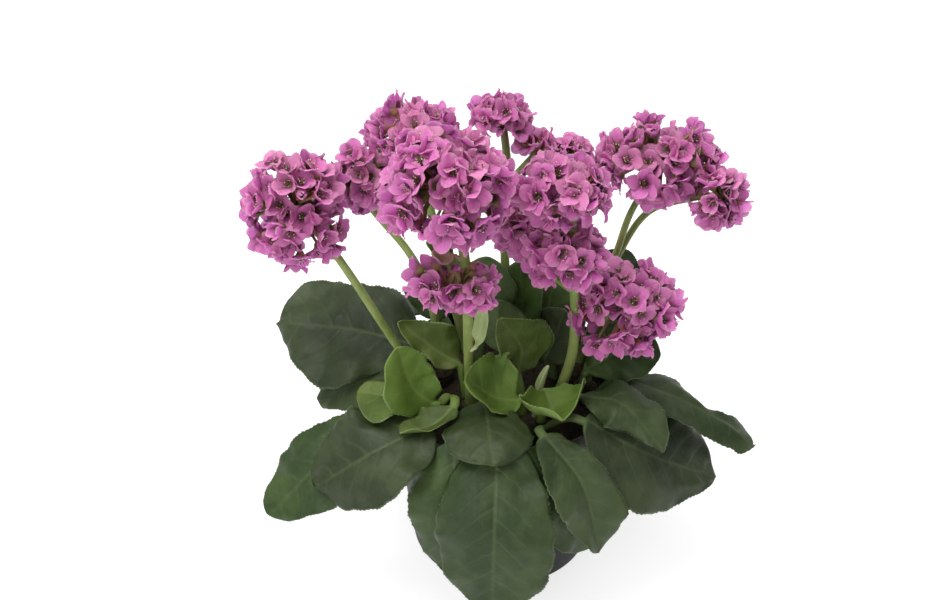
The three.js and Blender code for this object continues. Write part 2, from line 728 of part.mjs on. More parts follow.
// Where each flower of a head sits and looks: evenly round the ball by the golden angle, a little uneven.
function flowerPlaces(head, seed) {
  const random = randomFrom(seed);
  const axis = vector(head.looks).normalize();
  const turnToAxis = new THREE.Quaternion().setFromUnitVectors(new THREE.Vector3(0, 0, 1), axis);
  const lowest = Math.cos(radians(head.cover));
  const places = [];
  for (let i = 0; i < head.flowers; i++) {
    const height = 1 - ((i + 0.5) / head.flowers) * (1 - lowest);
    const turn = i * GOLDEN_ANGLE + UNEVEN.turn * (random() - 0.5);
    const flat = Math.sqrt(1 - height ** 2);
    const way = new THREE.Vector3(flat * Math.cos(turn), flat * Math.sin(turn), height);
    way.applyQuaternion(turnToAxis);
    const reach = 1 + UNEVEN.reach * (random() - 0.5);
    const size = head.petal * (1 + UNEVEN.size * (random() - 0.5));
    const spin = 2 * Math.PI * random();
    const at = way.clone().multiply(vector(head.reach)).multiplyScalar(reach).add(vector(head.centre));
    places.push({ at, way, size, spin });
  }
  return places;
}

function headSolid(head, seed) {
  const coreReach = head.reach.map((reach) => Math.max(reach - head.petal, reach * CORE.leastShare));
  const core = new THREE.IcosahedronGeometry(1, head.flowers > CORE.fineOver ? 1 : 0).scale(...coreReach);
  core.translate(...head.centre);
  let whole = solidOf(core);
  for (const { at, way, size, spin } of flowerPlaces(head, seed)) {
    const flower = flowerGeometry(size).rotateZ(spin);
    flower.applyQuaternion(new THREE.Quaternion().setFromUnitVectors(new THREE.Vector3(0, 0, 1), way));
    flower.translate(at.x, at.y, at.z);
    whole = whole.add(solidOf(flower));
  }
  return whole;
}

function stalkSolid(stalk, margin = 0) {
  const { footDepth, footRadius, topRadius, branchRadius, tipRadius, sides, steps, branchSteps } = STALK;
  const [x, y] = SHOOTS[stalk.shoot];
  const stout = stalk.stout ?? 1;
  const path = [new THREE.Vector3(x, y, RHIZOME.shootTop - footDepth), ...stalk.way.map(vector)];
  const stem = tube(path, stout * footRadius + margin, stout * topRadius + margin, sides, steps);
  const branches = (stalk.branches ?? []).map((way) =>
    tube(way.map(vector), branchRadius + margin, tipRadius + margin, sides, branchSteps),
  );
  return branches.reduce((whole, branch) => whole.add(branch), stem);
}

const plant = new THREE.Group();
plant.name = "potted_bergenia";

const rhizomeHollow = rhizome(GAP);
plant.add(meshOf(pot(), "pot", PLASTIC));
plant.add(meshOf(soil().subtract(rhizomeHollow), "soil", EARTH));
plant.add(meshOf(rhizome(), "rhizome", BARK));

for (const leaf of LEAVES) {
  plant.add(meshOf(largestBody(leafSolid(leaf).subtract(rhizomeHollow)), leaf.name, LEAF_GREEN));
}
for (const bract of BRACTS) {
  const hollow = stalkSolid(STALKS.find((stalk) => stalk.name === bract.stalk), GAP);
  plant.add(meshOf(largestBody(leafSolid(bract).subtract(hollow)), bract.name, LEAF_GREEN));
}
for (const stalk of STALKS) {
  const solid = largestBody(stalkSolid(stalk).subtract(rhizomeHollow));
  plant.add(meshOf(solid, `stalk_${stalk.name}`, STALK_GREEN));
}
const stalkHollows = STALKS.map((stalk) => stalkSolid(stalk, GAP));
HEADS.forEach((head, i) => {
  const clear = stalkHollows.reduce((rest, hollow) => rest.subtract(hollow), headSolid(head, 100 + i));
  plant.add(meshOf(largestBody(clear), `flowers_${head.name}`, PETAL_PINK));
});

export default plant;
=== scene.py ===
"""A bergenia in flower, in its nursery pot.

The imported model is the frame. Each of its nodes is replaced here by a finer mesh of the same form at the same
place: leaves with veins and toothed margins, flowers with petals, stamens and calyces, and their finishes.
"""
import json
import math
from types import SimpleNamespace

import bmesh
import bpy
import numpy as np
from mathutils import Matrix, Vector

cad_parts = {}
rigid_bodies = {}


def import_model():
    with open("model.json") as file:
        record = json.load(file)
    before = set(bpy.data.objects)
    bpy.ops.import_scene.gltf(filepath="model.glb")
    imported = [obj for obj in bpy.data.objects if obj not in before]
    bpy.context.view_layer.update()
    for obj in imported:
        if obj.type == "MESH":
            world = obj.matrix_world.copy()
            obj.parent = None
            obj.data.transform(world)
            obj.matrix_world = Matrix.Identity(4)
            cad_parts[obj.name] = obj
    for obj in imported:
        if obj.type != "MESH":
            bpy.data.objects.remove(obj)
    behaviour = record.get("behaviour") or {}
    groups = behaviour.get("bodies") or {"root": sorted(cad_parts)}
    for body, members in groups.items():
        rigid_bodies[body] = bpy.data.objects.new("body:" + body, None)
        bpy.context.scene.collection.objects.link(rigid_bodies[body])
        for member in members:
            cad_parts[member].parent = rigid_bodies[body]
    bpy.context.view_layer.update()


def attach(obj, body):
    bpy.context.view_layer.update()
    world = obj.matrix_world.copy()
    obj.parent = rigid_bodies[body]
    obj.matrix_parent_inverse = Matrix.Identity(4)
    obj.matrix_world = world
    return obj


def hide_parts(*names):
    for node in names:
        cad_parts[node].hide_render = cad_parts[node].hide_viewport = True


# Sizes and places are in millimetres, as in the part's source, and meshes are in metres.
MM = 0.001

# The photograph's camera: it looks down at a point above the pot
CAMERA = {
    "aim": (-15, 0, 161.5),
    "distance": 1000,
    "elevation": 37,
    "lens": 72,
    "sensor": 36,
}

# The rhizome's shoots, from which leaves and flower stalks grow
SHOOT_TOP = 104
SHOOTS = {
    "left": (-38, -3),
    "front_left": (-17, -14),
    "front": (13, -30),
    "right": (29, -9),
    "right_low": (45, 3),
    "right_far": (41, 19.5),
    "back_right": (27, 18),
    "back": (4, 32),
    "back_left": (-18, 28),
    "left_back": (-34, 18),
}

# Leaf: a round petiole that runs on as the midrib of a thin blade
LEAF = {
    "foot_reach": 7.6,
    "foot_depth": 5,
    "lift": 5,
    "stem": 2.6,
    "stem_rise": 1.5,
    "stem_keel": 2.3,
    "opens": 0.3,
    "thickness": 0.8,
    "margin_thickness": 0.35,
    "widest_power": 1.16,
    "roundness": 0.56,
    "waves": 2.4,
    "wave_shift": 0.37,
    "rib_depth": 2.2,
    "rib_width": 1.9,
    "groove_depth": 0.55,
    "groove_width": 1.1,
    "rib_fading": 0.75,
    "fresh": 0.3,
}
# Teeth of the margin: their height and how it varies, the share of the blade over which they begin, and the
# width that a leaf with teeth has at least
TEETH = {"height": 0.34, "varies": (0.2, 1.4), "begin": (0.05, 0.2), "over_width": 15}
# Shallow lobes of the margin: two waves, with their lengths for a turn of one radian
LOBES = {"height": 0.4, "length": 2.9, "short_length": 1.4, "short_share": 0.6}
# Side veins: how far apart they leave the midrib, how they lean and bend towards the tip, how far the blade
# swells between them and how far from the midrib it begins to, and the width of a leaf with its full relief
VEINS = {"spacing": 12.5, "lean": 0.6, "bend": 0.016, "swell": 0.5, "swell_from": (1, 6), "full_width": 30}
# Slow waves of a blade: their height and length, how they lean, and the shorter ones across and at the margin
UNEVEN_BLADE = {
    "height": 0.9,
    "length": 30,
    "lean_out": 9,
    "lean_along": 7,
    "across": 0.8,
    "margin": 0.43,
    "margin_share": 0.6,
}
LARGE_LEAF = {"over_width": 44, "stem_rows": 10, "blade_rows": 96, "columns": 12}
SMALL_LEAF = {"stem_rows": 10, "blade_rows": 62, "columns": 9}
# Powers that draw a leaf's rows together at its tip, and its columns at its midrib and its margin
ROWS_POWER = 1.4
MIDRIB_POWER = 1.6
MARGIN_POWER = 1.3
# How many times wider than long a blade's own swells are, as shares of its width and its length
SWELL_WIDTH = 1.6
# The share of the way from the midrib from which a point lies on the margin
AT_MARGIN = 0.999
# Millimetres of leaf for a width of one in its UV map
LEAF_UV = 100

# Each leaf: its shoot and the angle at which it leaves it, then its neck, where the blade begins, its middle
# and its tip, its width, and how the blade is held. Roll turns it about its midrib, fold is the slope of each
# half at the midrib, curl what the margin adds to it, and wave the height of the margin's waves. Angles are
# in degrees. A leaf that isn't even has halves: how wide each half is, as a share of the usual outline, at
# equal steps from neck to tip. Opens is the share of the blade over which it opens from the round petiole.
# Fold, curl and halves are given for the clockwise and the anticlockwise half, seen from above. Swells are
# a blade's own: each one's place along and across it, its size as a share of the blade, and its height.
# Fresh says how far a leaf's colour goes from the dull to the fresh green of its finish.
LEAVES = {
    "leaf_front": dict(
        shoot="front", leaves_at=-135, neck=(-3, -62, 119), middle=(-5, -96, 90), tip=(-6, -103, 37),
        width=62, fold=(0, -4), curl=(-18, -14), wave=1,
        halves=((1, 1, 1, 1.1, 1.5), (1, 0.95, 0.95, 1.1, 1.5)),
        fresh=0.45,
        swells=(
            (0.35, -0.45, 0.16, 1.6), (0.6, 0.5, 0.16, 1.6), (0.8, -0.4, 0.14, 1.4), (0.25, 0.5, 0.12, -1.2),
        ),
    ),
    "leaf_front_under": dict(
        shoot="front_left", leaves_at=-80, neck=(-24, -61, 115.5), middle=(-29, -82, 82), tip=(-30, -80, 42),
        width=37, roll=6, fold=(6, 2), curl=(-16, -10), wave=1,
        halves=((1.3, 1.3, 1.15, 1, 1), (1, 1, 1, 1, 1)),
        fresh=0.75,
        swells=((0.4, -0.4, 0.16, 1.2), (0.7, 0.3, 0.16, -1.2)),
    ),
    "leaf_front_right": dict(
        shoot="front", leaves_at=-58, neck=(20, -60, 119), middle=(40, -77, 101), tip=(50, -84, 59),
        width=41, roll=6, fold=(17, 14), curl=(-4, -8), wave=1.8,
        halves=((0.8, 0.9, 0.95, 0.8, 0.5), (0.8, 0.6, 0.65, 1, 0.95)),
        fresh=0.4,
        swells=((0.45, 0.5, 0.16, 1.5), (0.7, -0.5, 0.16, 1.6), (0.3, -0.5, 0.12, -1.2)),
    ),
    "leaf_front_right_low": dict(
        shoot="front", leaves_at=-95, neck=(11, -65, 114.5), middle=(32, -76, 86), tip=(45, -72, 50),
        width=36, fold=(2, 2), curl=(-10, -10), wave=1,
        fresh=0.75,
    ),
    "leaf_left_front": dict(
        shoot="front_left", leaves_at=-122, neck=(-39, -47, 115.5), middle=(-68, -63, 110),
        tip=(-99, -60, 83),
        width=58, roll=-8, fold=(3, 2), curl=(-12, -16), wave=2.5,
        halves=((1, 1, 1, 1, 1), (1, 1, 0.9, 0.9, 0.9)),
        fresh=0.1,
        swells=(
            (0.4, -0.45, 0.16, 2), (0.65, 0.45, 0.16, 2), (0.85, -0.3, 0.12, -1.6), (0.3, 0.6, 0.12, -1.5),
        ),
    ),
    "leaf_left_front_low": dict(
        shoot="left", leaves_at=-130, neck=(-60, -34, 115), middle=(-96, -50, 92), tip=(-125, -57, 60),
        width=46, roll=-10, fold=(6, -4), curl=(-8, -14), wave=2,
        halves=((1, 0.85, 0.85, 0.9, 0.9), (1, 0.95, 0.95, 0.9, 0.8)),
        fresh=0.75,
        swells=((0.5, -0.5, 0.18, 2.2), (0.75, 0.3, 0.14, -1.8)),
    ),
    "leaf_left_low": dict(
        shoot="left", leaves_at=-175, neck=(-58, -8, 116), middle=(-78, -4, 108), tip=(-102, 2, 92),
        width=40, roll=-16, fold=(4, 4), curl=(-12, -10), wave=1.5,
        halves=((1, 1, 1, 1, 1), (0.7, 0.7, 0.7, 0.7, 0.7)),
        fresh=0.3,
    ),
    "leaf_left_back": dict(
        shoot="left", leaves_at=110, neck=(-48, 10, 122), middle=(-84, 20, 127), tip=(-125, 38, 115),
        width=68, roll=-28, fold=(0, 2), curl=(-14, -10), wave=2.5,
        halves=((1.3, 1.1, 0.8, 1.05, 1.8), (0.7, 0.85, 1.05, 0.9, 0.5)),
        fresh=0.05,
        swells=(
            (0.9, 0, 0.16, 3.2), (0.5, 0.75, 0.2, 2.6), (0.6, 0.3, 0.16, -2.2), (0.3, -0.7, 0.2, 2),
            (0.75, -0.6, 0.16, -1.8),
        ),
    ),
    "leaf_left_young": dict(
        shoot="left", leaves_at=-82, neck=(-48, -29, 118), middle=(-62, -30, 121), tip=(-77, -27, 121),
        width=26, roll=-14, fold=(4, 10), curl=(8, 10), wave=1.2,
        halves=((0.4, 0.4, 0.45, 0.7, 0.9), (1.2, 1.4, 1.6, 1.5, 1.2)),
        finish="young_leaf", fresh=0.55,
    ),
    "leaf_left_bright": dict(
        shoot="front_left", leaves_at=153, neck=(-35, -34.5, 119.5), middle=(-48, -36, 132),
        tip=(-55, -36, 158),
        width=36, roll=-82, fold=(4, 2), curl=(44, 8), wave=0.6, opens=0.12,
        halves=((0.9, 0.8, 0.75, 0.8, 1), (0.4, 0.65, 0.95, 1, 1.2)),
        finish="young_leaf", fresh=1,
    ),
    "leaf_left_folded": dict(
        shoot="front_left", leaves_at=-164, lift=8, neck=(-26.5, -42.5, 123), middle=(-38, -52, 119),
        tip=(-54, -56, 118),
        width=26, roll=-6, fold=(0, 24), curl=(10, 40), wave=1,
        halves=((0.7, 0.7, 0.7, 0.8, 0.9), (0.6, 0.6, 0.6, 0.6, 0.6)),
        finish="young_leaf", fresh=0.3,
    ),
    "leaf_left_curled": dict(
        shoot="front_left", leaves_at=108, neck=(-24, -4, 121), middle=(-38, 0, 130), tip=(-56, 4, 144),
        width=36, roll=-50, fold=(4, 10), curl=(30, 40), wave=1.5,
        halves=((0.5, 0.8, 0.9, 0.6, 0.5), (0.5, 0.5, 0.35, 0.4, 0.5)),
        finish="young_leaf", fresh=0.35,
    ),
    "leaf_centre_front": dict(
        shoot="front_left", leaves_at=-40, neck=(-10, -34, 119), middle=(-8, -63, 125), tip=(-6, -81, 117),
        width=46, fold=(2, -4), curl=(-16, -18), wave=1,
        fresh=0.3,
        swells=((0.45, -0.5, 0.18, 1.4), (0.7, 0.4, 0.16, 1.4)),
    ),
    "leaf_cup_left": dict(
        shoot="front", leaves_at=-176, neck=(8, -34, 120.5), middle=(-5, -36, 125), tip=(-20, -39, 140),
        width=44, roll=-32, fold=(2, 6), curl=(44, 40), wave=1.2, opens=0.12,
        halves=((1.2, 1.15, 1.1, 1.1, 1.6), (0.5, 0.55, 0.65, 0.75, 1.1)),
        finish="young_leaf", fresh=1,
    ),
    "leaf_cup_right": dict(
        shoot="front", leaves_at=22, neck=(22, -26, 121), middle=(26, -40, 118), tip=(30, -54, 125),
        width=46, roll=0, fold=(8, 10), curl=(62, 62), wave=1, opens=0.1,
        halves=((1.1, 1, 1, 1.1, 1.3), (1.1, 1.05, 1.05, 1.15, 1.3)),
        finish="young_leaf", fresh=1,
    ),
    "leaf_centre_back": dict(
        shoot="front", leaves_at=110, neck=(7.5, -13, 123), middle=(9, -8, 137), tip=(-2, -12, 158),
        width=38, fold=(6, 6), curl=(30, 30), wave=1.6,
        halves=((0.6, 0.7, 0.95, 0.9, 0.5), (0.6, 0.7, 0.8, 0.8, 0.7)),
        finish="young_leaf", fresh=0.3,
    ),
    "leaf_bud": dict(
        shoot="front", leaves_at=66, lift=1, neck=(18.5, -21.5, 114), middle=(21, -21, 124),
        tip=(23.5, -21, 134),
        width=5, stem=1.7, fold=(30, 30), curl=(50, 50), wave=0,
        finish="pale_bract",
    ),
    "leaf_right_curled": dict(
        shoot="right", leaves_at=-60, neck=(42, -29, 119), middle=(62, -41, 124), tip=(83, -60, 108),
        width=30, roll=12, fold=(-2, 0), curl=(-30, -20), wave=2,
        halves=((0.4, 0.8, 1.1, 0.5, 0.7), (1, 0.95, 0.95, 1.15, 1.2)),
        fresh=0.35,
        swells=((0.45, -0.3, 0.16, 1.4), (0.75, 0.3, 0.14, -1.2)),
    ),
    "leaf_right_front": dict(
        shoot="front", leaves_at=-18, neck=(42, -46, 117), middle=(77, -51, 98), tip=(115, -38, 71),
        width=62, roll=20, fold=(-12, -6), curl=(-14, -8), wave=2,
        halves=((1.1, 1.1, 1, 0.8, 0.5), (0.9, 0.9, 1, 1.3, 1.9)),
        fresh=0,
        swells=((0.4, -0.4, 0.16, 1.8), (0.7, 0.4, 0.18, -2), (0.8, -0.5, 0.14, 2), (0.35, 0.6, 0.14, 1.6)),
    ),
    "leaf_right": dict(
        shoot="right_low", leaves_at=-40, neck=(66, -14, 118), middle=(98, -21, 109), tip=(135, -27, 84),
        width=42, roll=6, fold=(6, -8), curl=(-16, -20), wave=3,
        halves=((0.8, 0.8, 0.7, 0.65, 1.3), (0.75, 0.9, 0.65, 0.35, 2)),
        fresh=0.35,
        swells=((0.5, 0.4, 0.16, 1.6), (0.8, 0, 0.14, 1.8), (0.65, -0.6, 0.14, -1.4)),
    ),
    "leaf_right_back": dict(
        shoot="right_low", leaves_at=-120, neck=(46, -4, 117), middle=(62, 1, 124), tip=(85, 0, 125),
        width=38, roll=16, fold=(8, 40), curl=(-6, -20), wave=1.5,
        fresh=1,
    ),
    "leaf_upright_left": dict(
        shoot="back_left", leaves_at=-50, neck=(-9, 22, 127), middle=(-8, 30, 146), tip=(-8, 37, 163),
        width=34, fold=(8, 8), curl=(4, 4), wave=1,
        fresh=0.7,
    ),
    "leaf_upright_middle": dict(
        shoot="back", leaves_at=-60, neck=(10, 22, 124), middle=(11, 27, 143), tip=(10, 33, 163),
        width=28, fold=(12, 12), curl=(6, 6), wave=1,
        fresh=1,
    ),
    "leaf_upright_right": dict(
        shoot="back_right", leaves_at=110, neck=(25, 30, 122), middle=(27, 36, 141), tip=(34, 43, 156),
        width=35, fold=(8, 8), curl=(4, 4), wave=1,
        fresh=0.6,
    ),
    "leaf_dark_right": dict(
        shoot="back_right", leaves_at=-80, neck=(24, 8, 116), middle=(29, 10, 130), tip=(33, 15, 144),
        width=34, fold=(4, 4), curl=(4, 4), wave=1,
        fresh=0,
    ),
    "leaf_dark_left": dict(
        shoot="back", leaves_at=-120, neck=(0, 8, 122), middle=(-2, 10, 137), tip=(-3, 14, 151),
        width=28, fold=(6, 6), curl=(4, 4), wave=1,
        fresh=0.2,
    ),
    "leaf_tall_right": dict(
        shoot="right_far", leaves_at=30, neck=(56, 31, 124), middle=(62, 42, 140), tip=(68, 51, 158),
        width=36, fold=(6, 6), curl=(4, 4), wave=1, lift=8,
        fresh=0.4,
    ),
    "leaf_tall_left": dict(
        shoot="left_back", leaves_at=120, neck=(-36, 32, 124), middle=(-38, 42, 138), tip=(-43, 47, 151),
        width=30, fold=(6, 6), curl=(4, 4), wave=1,
        fresh=0.4,
    ),
    "leaf_back_left_low": dict(
        shoot="back_left", leaves_at=130, neck=(-38, 52, 116), middle=(-58, 78, 104), tip=(-74, 98, 66),
        width=58, fold=(4, 4), curl=(-12, -12), wave=2,
        fresh=0.3,
    ),
    "leaf_back_low": dict(
        shoot="back", leaves_at=95, neck=(2, 62, 116), middle=(0, 94, 98), tip=(-4, 112, 54),
        width=60, fold=(4, 4), curl=(-12, -12), wave=2,
        fresh=0.5,
    ),
    "leaf_back_right_low": dict(
        shoot="right_far", leaves_at=85, neck=(46, 50, 116), middle=(67, 74, 104), tip=(86, 92, 68),
        width=56, fold=(4, 4), curl=(-12, -12), wave=2, lift=9,
        fresh=0.3,
    ),
    "bract_pale": dict(
        foot=(-17, -24, 147), neck=(-14.5, -24.5, 150.5), middle=(-12, -24.5, 163), tip=(-10, -25, 179),
        width=8, stem=1.5, lift=0, roll=80, fold=(20, 20), curl=(20, 20), wave=0.5,
        finish="pale_bract",
    ),
    "bract_green": dict(
        foot=(-21, -29, 205), neck=(-26, -28, 208), middle=(-32, -27, 213), tip=(-39, -26, 218),
        width=10, stem=1.4, lift=0, roll=-30, fold=(10, 10), curl=(10, 10), wave=0.5,
        finish="young_leaf", fresh=1,
    ),
    "bract_tan": dict(
        foot=(-20, -31, 210), neck=(-26, -33, 214), middle=(-31, -36, 216), tip=(-36, -39, 220),
        width=9, stem=1.4, lift=0, roll=-40, fold=(10, 10), curl=(10, 10), wave=0.5,
        finish="tan_bract",
    ),
}

# Each leaf finish: its dull and its fresh green, each dark and light, the colours of its veins, its edge and
# its underside, and its roughness
LEAF_COLOURS = {
    "old_leaf": dict(
        dull=[(0.016, 0.026, 0.008), (0.040, 0.055, 0.021)],
        fresh=[(0.018, 0.044, 0.006), (0.048, 0.088, 0.016)],
        vein=(0.11, 0.15, 0.06),
        edge=(0.14, 0.19, 0.09),
        under=(0.09, 0.13, 0.05),
        roughness=0.36,
    ),
    "young_leaf": dict(
        dull=[(0.045, 0.062, 0.014), (0.10, 0.125, 0.034)],
        fresh=[(0.05, 0.108, 0.012), (0.112, 0.185, 0.026)],
        vein=(0.2, 0.28, 0.08),
        edge=(0.27, 0.36, 0.13),
        under=(0.14, 0.2, 0.05),
        roughness=0.36,
    ),
    "pale_bract": dict(
        dull=[(0.24, 0.31, 0.12), (0.42, 0.48, 0.23)],
        fresh=[(0.24, 0.31, 0.12), (0.42, 0.48, 0.23)],
        vein=(0.5, 0.55, 0.3),
        edge=(0.55, 0.6, 0.36),
        under=(0.36, 0.42, 0.19),
        roughness=0.45,
    ),
    "tan_bract": dict(
        dull=[(0.2, 0.12, 0.08), (0.36, 0.21, 0.16)],
        fresh=[(0.2, 0.12, 0.08), (0.36, 0.21, 0.16)],
        vein=(0.42, 0.27, 0.2),
        edge=(0.45, 0.3, 0.22),
        under=(0.3, 0.2, 0.12),
        roughness=0.5,
    ),
}
LEAF_SLOTS = {"old_leaf": "old_leaf", "young_leaf": "young_leaf", "pale_bract": "young_leaf"}

# Flower stalk: its radius at the foot, under the head and in a branch, and how it swells at the foot
STALK = {
    "foot_depth": 4,
    "foot": 3.1,
    "top": 2.4,
    "branch": 1.9,
    "branch_tip": 1.5,
    "swelling": 0.5,
    "swelling_length": 0.06,
    "sides": 16,
    "steps": 44,
}
# Each stalk's shoot, its share of the thickness, its way up, and where it forks, each branch's way on
STALKS = {
    "left": ("left", 0.8, [(-56, -3, 132), (-84, -3, 188), (-105, 0, 220)], []),
    "left_back": ("left_back", 0.75, [(-39, 22, 146), (-50, 25, 174), (-69, 31, 198), (-77, 34, 214)], []),
    "back_left": ("back_left", 0.9, [(-29, 29, 150), (-40, 32, 205), (-48, 40, 240)], []),
    "middle": (
        "front_left",
        1,
        [(-18, -20, 132), (-20, -30, 208), (-27, -33, 250)],
        [[(-20, -28, 176), (-27, -36, 198)]],
    ),
    "back": (
        "back",
        0.85,
        [(1, 42, 170), (2, 45, 215), (-1, 47, 246)],
        [[(2, 44, 205), (11, 40, 220), (19, 39, 231)], [(3, 43, 190), (24, 38, 212), (36, 37, 229)]],
    ),
    "right": (
        "right",
        0.95,
        [(37, -12, 141), (35, -17, 200), (32, -15, 240)],
        [[(36, -15, 178), (22, -6, 186), (10, -1, 206)]],
    ),
    "right_back": ("back_right", 0.7, [(50, 25, 145), (60, 28, 170), (68, 32, 197), (84, 40, 223)], []),
    "right_far": ("right_far", 0.7, [(54, 31, 140), (62, 34, 165.5), (77, 32, 196), (104, 26, 210)], []),
    "right_low": ("right_low", 0.9, [(50, 11, 124), (58, 18, 142), (65, -6, 164)], []),
}

# Flower at its drawn size: a petal's way from the calyx outwards as [from the axis, up] control points, for a
# flower that is wide open, open, a bell, half open and a bud, with the petal's half width, how many flowers
# of each form are drawn, and their share of a head's flowers
FLOWER_RADIUS = 8.5
FORMS = {
    "wide": dict(way=[(0.9, -6.8), (3.2, -4.8), (4.6, -0.9), (8.9, -2.0)], half=4.6, drawn=4, share=0.28),
    "open": dict(way=[(0.9, -6.8), (2.9, -5.0), (4.4, -1.4), (8.6, -0.3)], half=4.6, drawn=4, share=0.38),
    "bell": dict(way=[(0.9, -6.8), (3.0, -5.2), (4.2, -2.0), (7.4, 0.9)], half=4.3, drawn=3, share=0.26),
    "half_open": dict(way=[(0.9, -6.8), (2.9, -5.4), (3.4, -1.6), (4.6, 1.5)], half=3.1, drawn=1, share=0.05),
    "bud": dict(way=[(0.9, -6.8), (3.0, -5.8), (3.2, -1.6), (0.9, 0.2)], half=2.2, drawn=1, share=0.03),
}
# Petal: its rows from the claw to where it is widest and on to its tip, its half width at the claw, how far
# its tip and its columns turn round, how far it wraps round the flower at the claw and how much less at the
# tip, and how it varies. Uneven way says how much each control point of its way may shift.
PETAL = {
    "count": 5,
    "thickness": 0.26,
    "lower_rows": 3,
    "tip_rows": 4,
    "columns": 5,
    "widest": 0.58,
    "claw": 0.8,
    "tip_turn": 84,
    "tip_roundness": 0.85,
    "column_turn": 1.25,
    "wrap": 0.95,
    "unwrap": 0.65,
    "overlap": 0.75,
    "overlap_from": (0.2, 0.75),
    "ruffle": 0.32,
    "ruffles": (4, 7),
    "ruffle_middle": 0.45,
    "short_ruffle": 0.6,
    "cup": (0.2, 0.5),
    "lean_in": 0.45,
    "twist": 0.5,
    "size": (0.88, 1.1),
    "turn": 0.09,
    "uneven": 0.4,
    "uneven_way": [[0], [0.3], [0.8], [2.2]],
    "sharp_angle": 70,
}
# Stamens about the flower's axis: filaments from foot to top with an anther each, which stand closer together
# in a flower that hasn't opened
STAMENS = {
    "count": 10,
    "foot_reach": 0.9,
    "foot": -6.2,
    "top": -2.2,
    "reach": 2.1,
    "closed_reach": 1.2,
    "closed_under": 4,
    "thickness": 0.15,
    "taper": 0.7,
    "anther": (0.42, 0.6),
}
# The ovary and its two styles, each as foot, top, radius at the foot and at the top, and number of sides
OVARY = [
    ((0, 0, -6.6), (0, 0, -4.2), 1.1, 0.6, 6),
    ((-0.2, 0, -4.3), (-0.7, 0.1, -2.3), 0.32, 0.22, 4),
    ((0.2, 0, -4.3), (0.7, 0.1, -2.3), 0.32, 0.22, 4),
]
# The value of each organ in the attribute that the finish reads
ORGANS = {"filament": 0.0, "anther": 0.5, "ovary": 1.0}
# Calyx: its cup as [radius, height] rings, the height at which its five sepals begin, their heights between
# and at the tips, and their radius where they begin and how they flare
CALYX = {
    "sides": 10,
    "sepals": 5,
    "sepal_power": 0.7,
    "rings": [(0.8, -8.2), (1.6, -7.6), (2.0, -6.8)],
    "foot": -5.9,
    "sinus": -5.2,
    "tip": -3.4,
    "radius": 2.4,
    "flare": (0.2, 1.5),
    "rows": (0.4, 1.0),
}
# Stems of a head's flowers: thicker branches run from the head's root to the joints of its groups of flowers,
# and a thin stem from there to each calyx. Each has its radius at both ends.
FLOWER_STEM = {
    "steps": 7,
    "sides": 6,
    "branch": (1.5, 1.1),
    "stem": (0.75, 0.85),
    "flowers_to_a_joint": 5,
    "fewest_joints": 3,
    "joint_reach": (0.3, 0.42),
    "root_depth": 0.25,
    "branch_bow": 0.8,
    "bow": 0.4,
    "calyx_depth": 8.0,
    "into_calyx": 0.3,
}

# Heads of flowers: a head's centre, how far the flowers' mouths reach along X, Y and Z, their number and
# radius, the angle that they cover about the way in which the head looks, and that way
HEADS = {
    "left": dict(
        centre=(-105, 0, 219), reach=(25, 23, 33), flowers=70, radius=7.9, cover=145, looks=(-0.3, -0.3, 0.9),
    ),
    "left_back": dict(
        centre=(-74, 34, 215), reach=(15, 14, 19), flowers=30, radius=7.4, cover=140, looks=(-0.2, -0.4, 0.9),
    ),
    "back_left": dict(
        centre=(-48, 40, 239), reach=(24, 19, 16), flowers=42, radius=7.8, cover=115, looks=(0, 0.35, 1),
    ),
    "middle": dict(
        centre=(-29.5, -33, 253), reach=(31, 28, 30), flowers=96, radius=8.7, cover=135, looks=(0, -0.4, 0.9),
    ),
    "middle_low": dict(
        centre=(-25, -38, 203), reach=(23, 19, 15), flowers=32, radius=8.2, cover=100,
        looks=(-0.05, -0.3, -1),
    ),
    "back_top": dict(
        centre=(-1, 46, 246), reach=(15, 13, 11), flowers=22, radius=7, cover=100, looks=(0, -0.2, 1),
    ),
    "back_middle": dict(
        centre=(18, 39, 230), reach=(10, 10, 10), flowers=13, radius=6.6, cover=85, looks=(0.2, 0.85, 0.5),
    ),
    "back_right": dict(
        centre=(35, 36, 228), reach=(10, 9, 9), flowers=13, radius=6.6, cover=95, looks=(0.7, 0.4, 0.6),
    ),
    "right_top": dict(
        centre=(29, -15, 241), reach=(23, 19, 18), flowers=46, radius=8, cover=130, looks=(0.1, -0.5, 0.8),
    ),
    "right_front": dict(
        centre=(31, -20, 206), reach=(19, 17, 18), flowers=34, radius=8.2, cover=125, looks=(0.2, -0.9, 0.3),
    ),
    "right_inner": dict(
        centre=(10, -1, 207), reach=(14, 11, 17), flowers=20, radius=7.6, cover=125, looks=(-0.3, -0.8, 0),
    ),
    "right_back": dict(
        centre=(81, 40, 223), reach=(33, 25, 22), flowers=72, radius=7.8, cover=135, looks=(0, -0.3, 1),
    ),
    "right_far": dict(
        centre=(108.5, 20, 213), reach=(18, 13, 15), flowers=24, radius=7.4, cover=110, looks=(0.7, -0.4, 0),
    ),
    "right_low": dict(
        centre=(62, -8, 163), reach=(28, 25, 26), flowers=66, radius=7.8, cover=135, looks=(0.2, -0.4, 0.9),
    ),
}
# The drawn flowers in their order, a form's name for each
DRAWN = [kind for kind, form in FORMS.items() for _ in range(form["drawn"])]
GOLDEN_ANGLE = math.pi * (3 - math.sqrt(5))
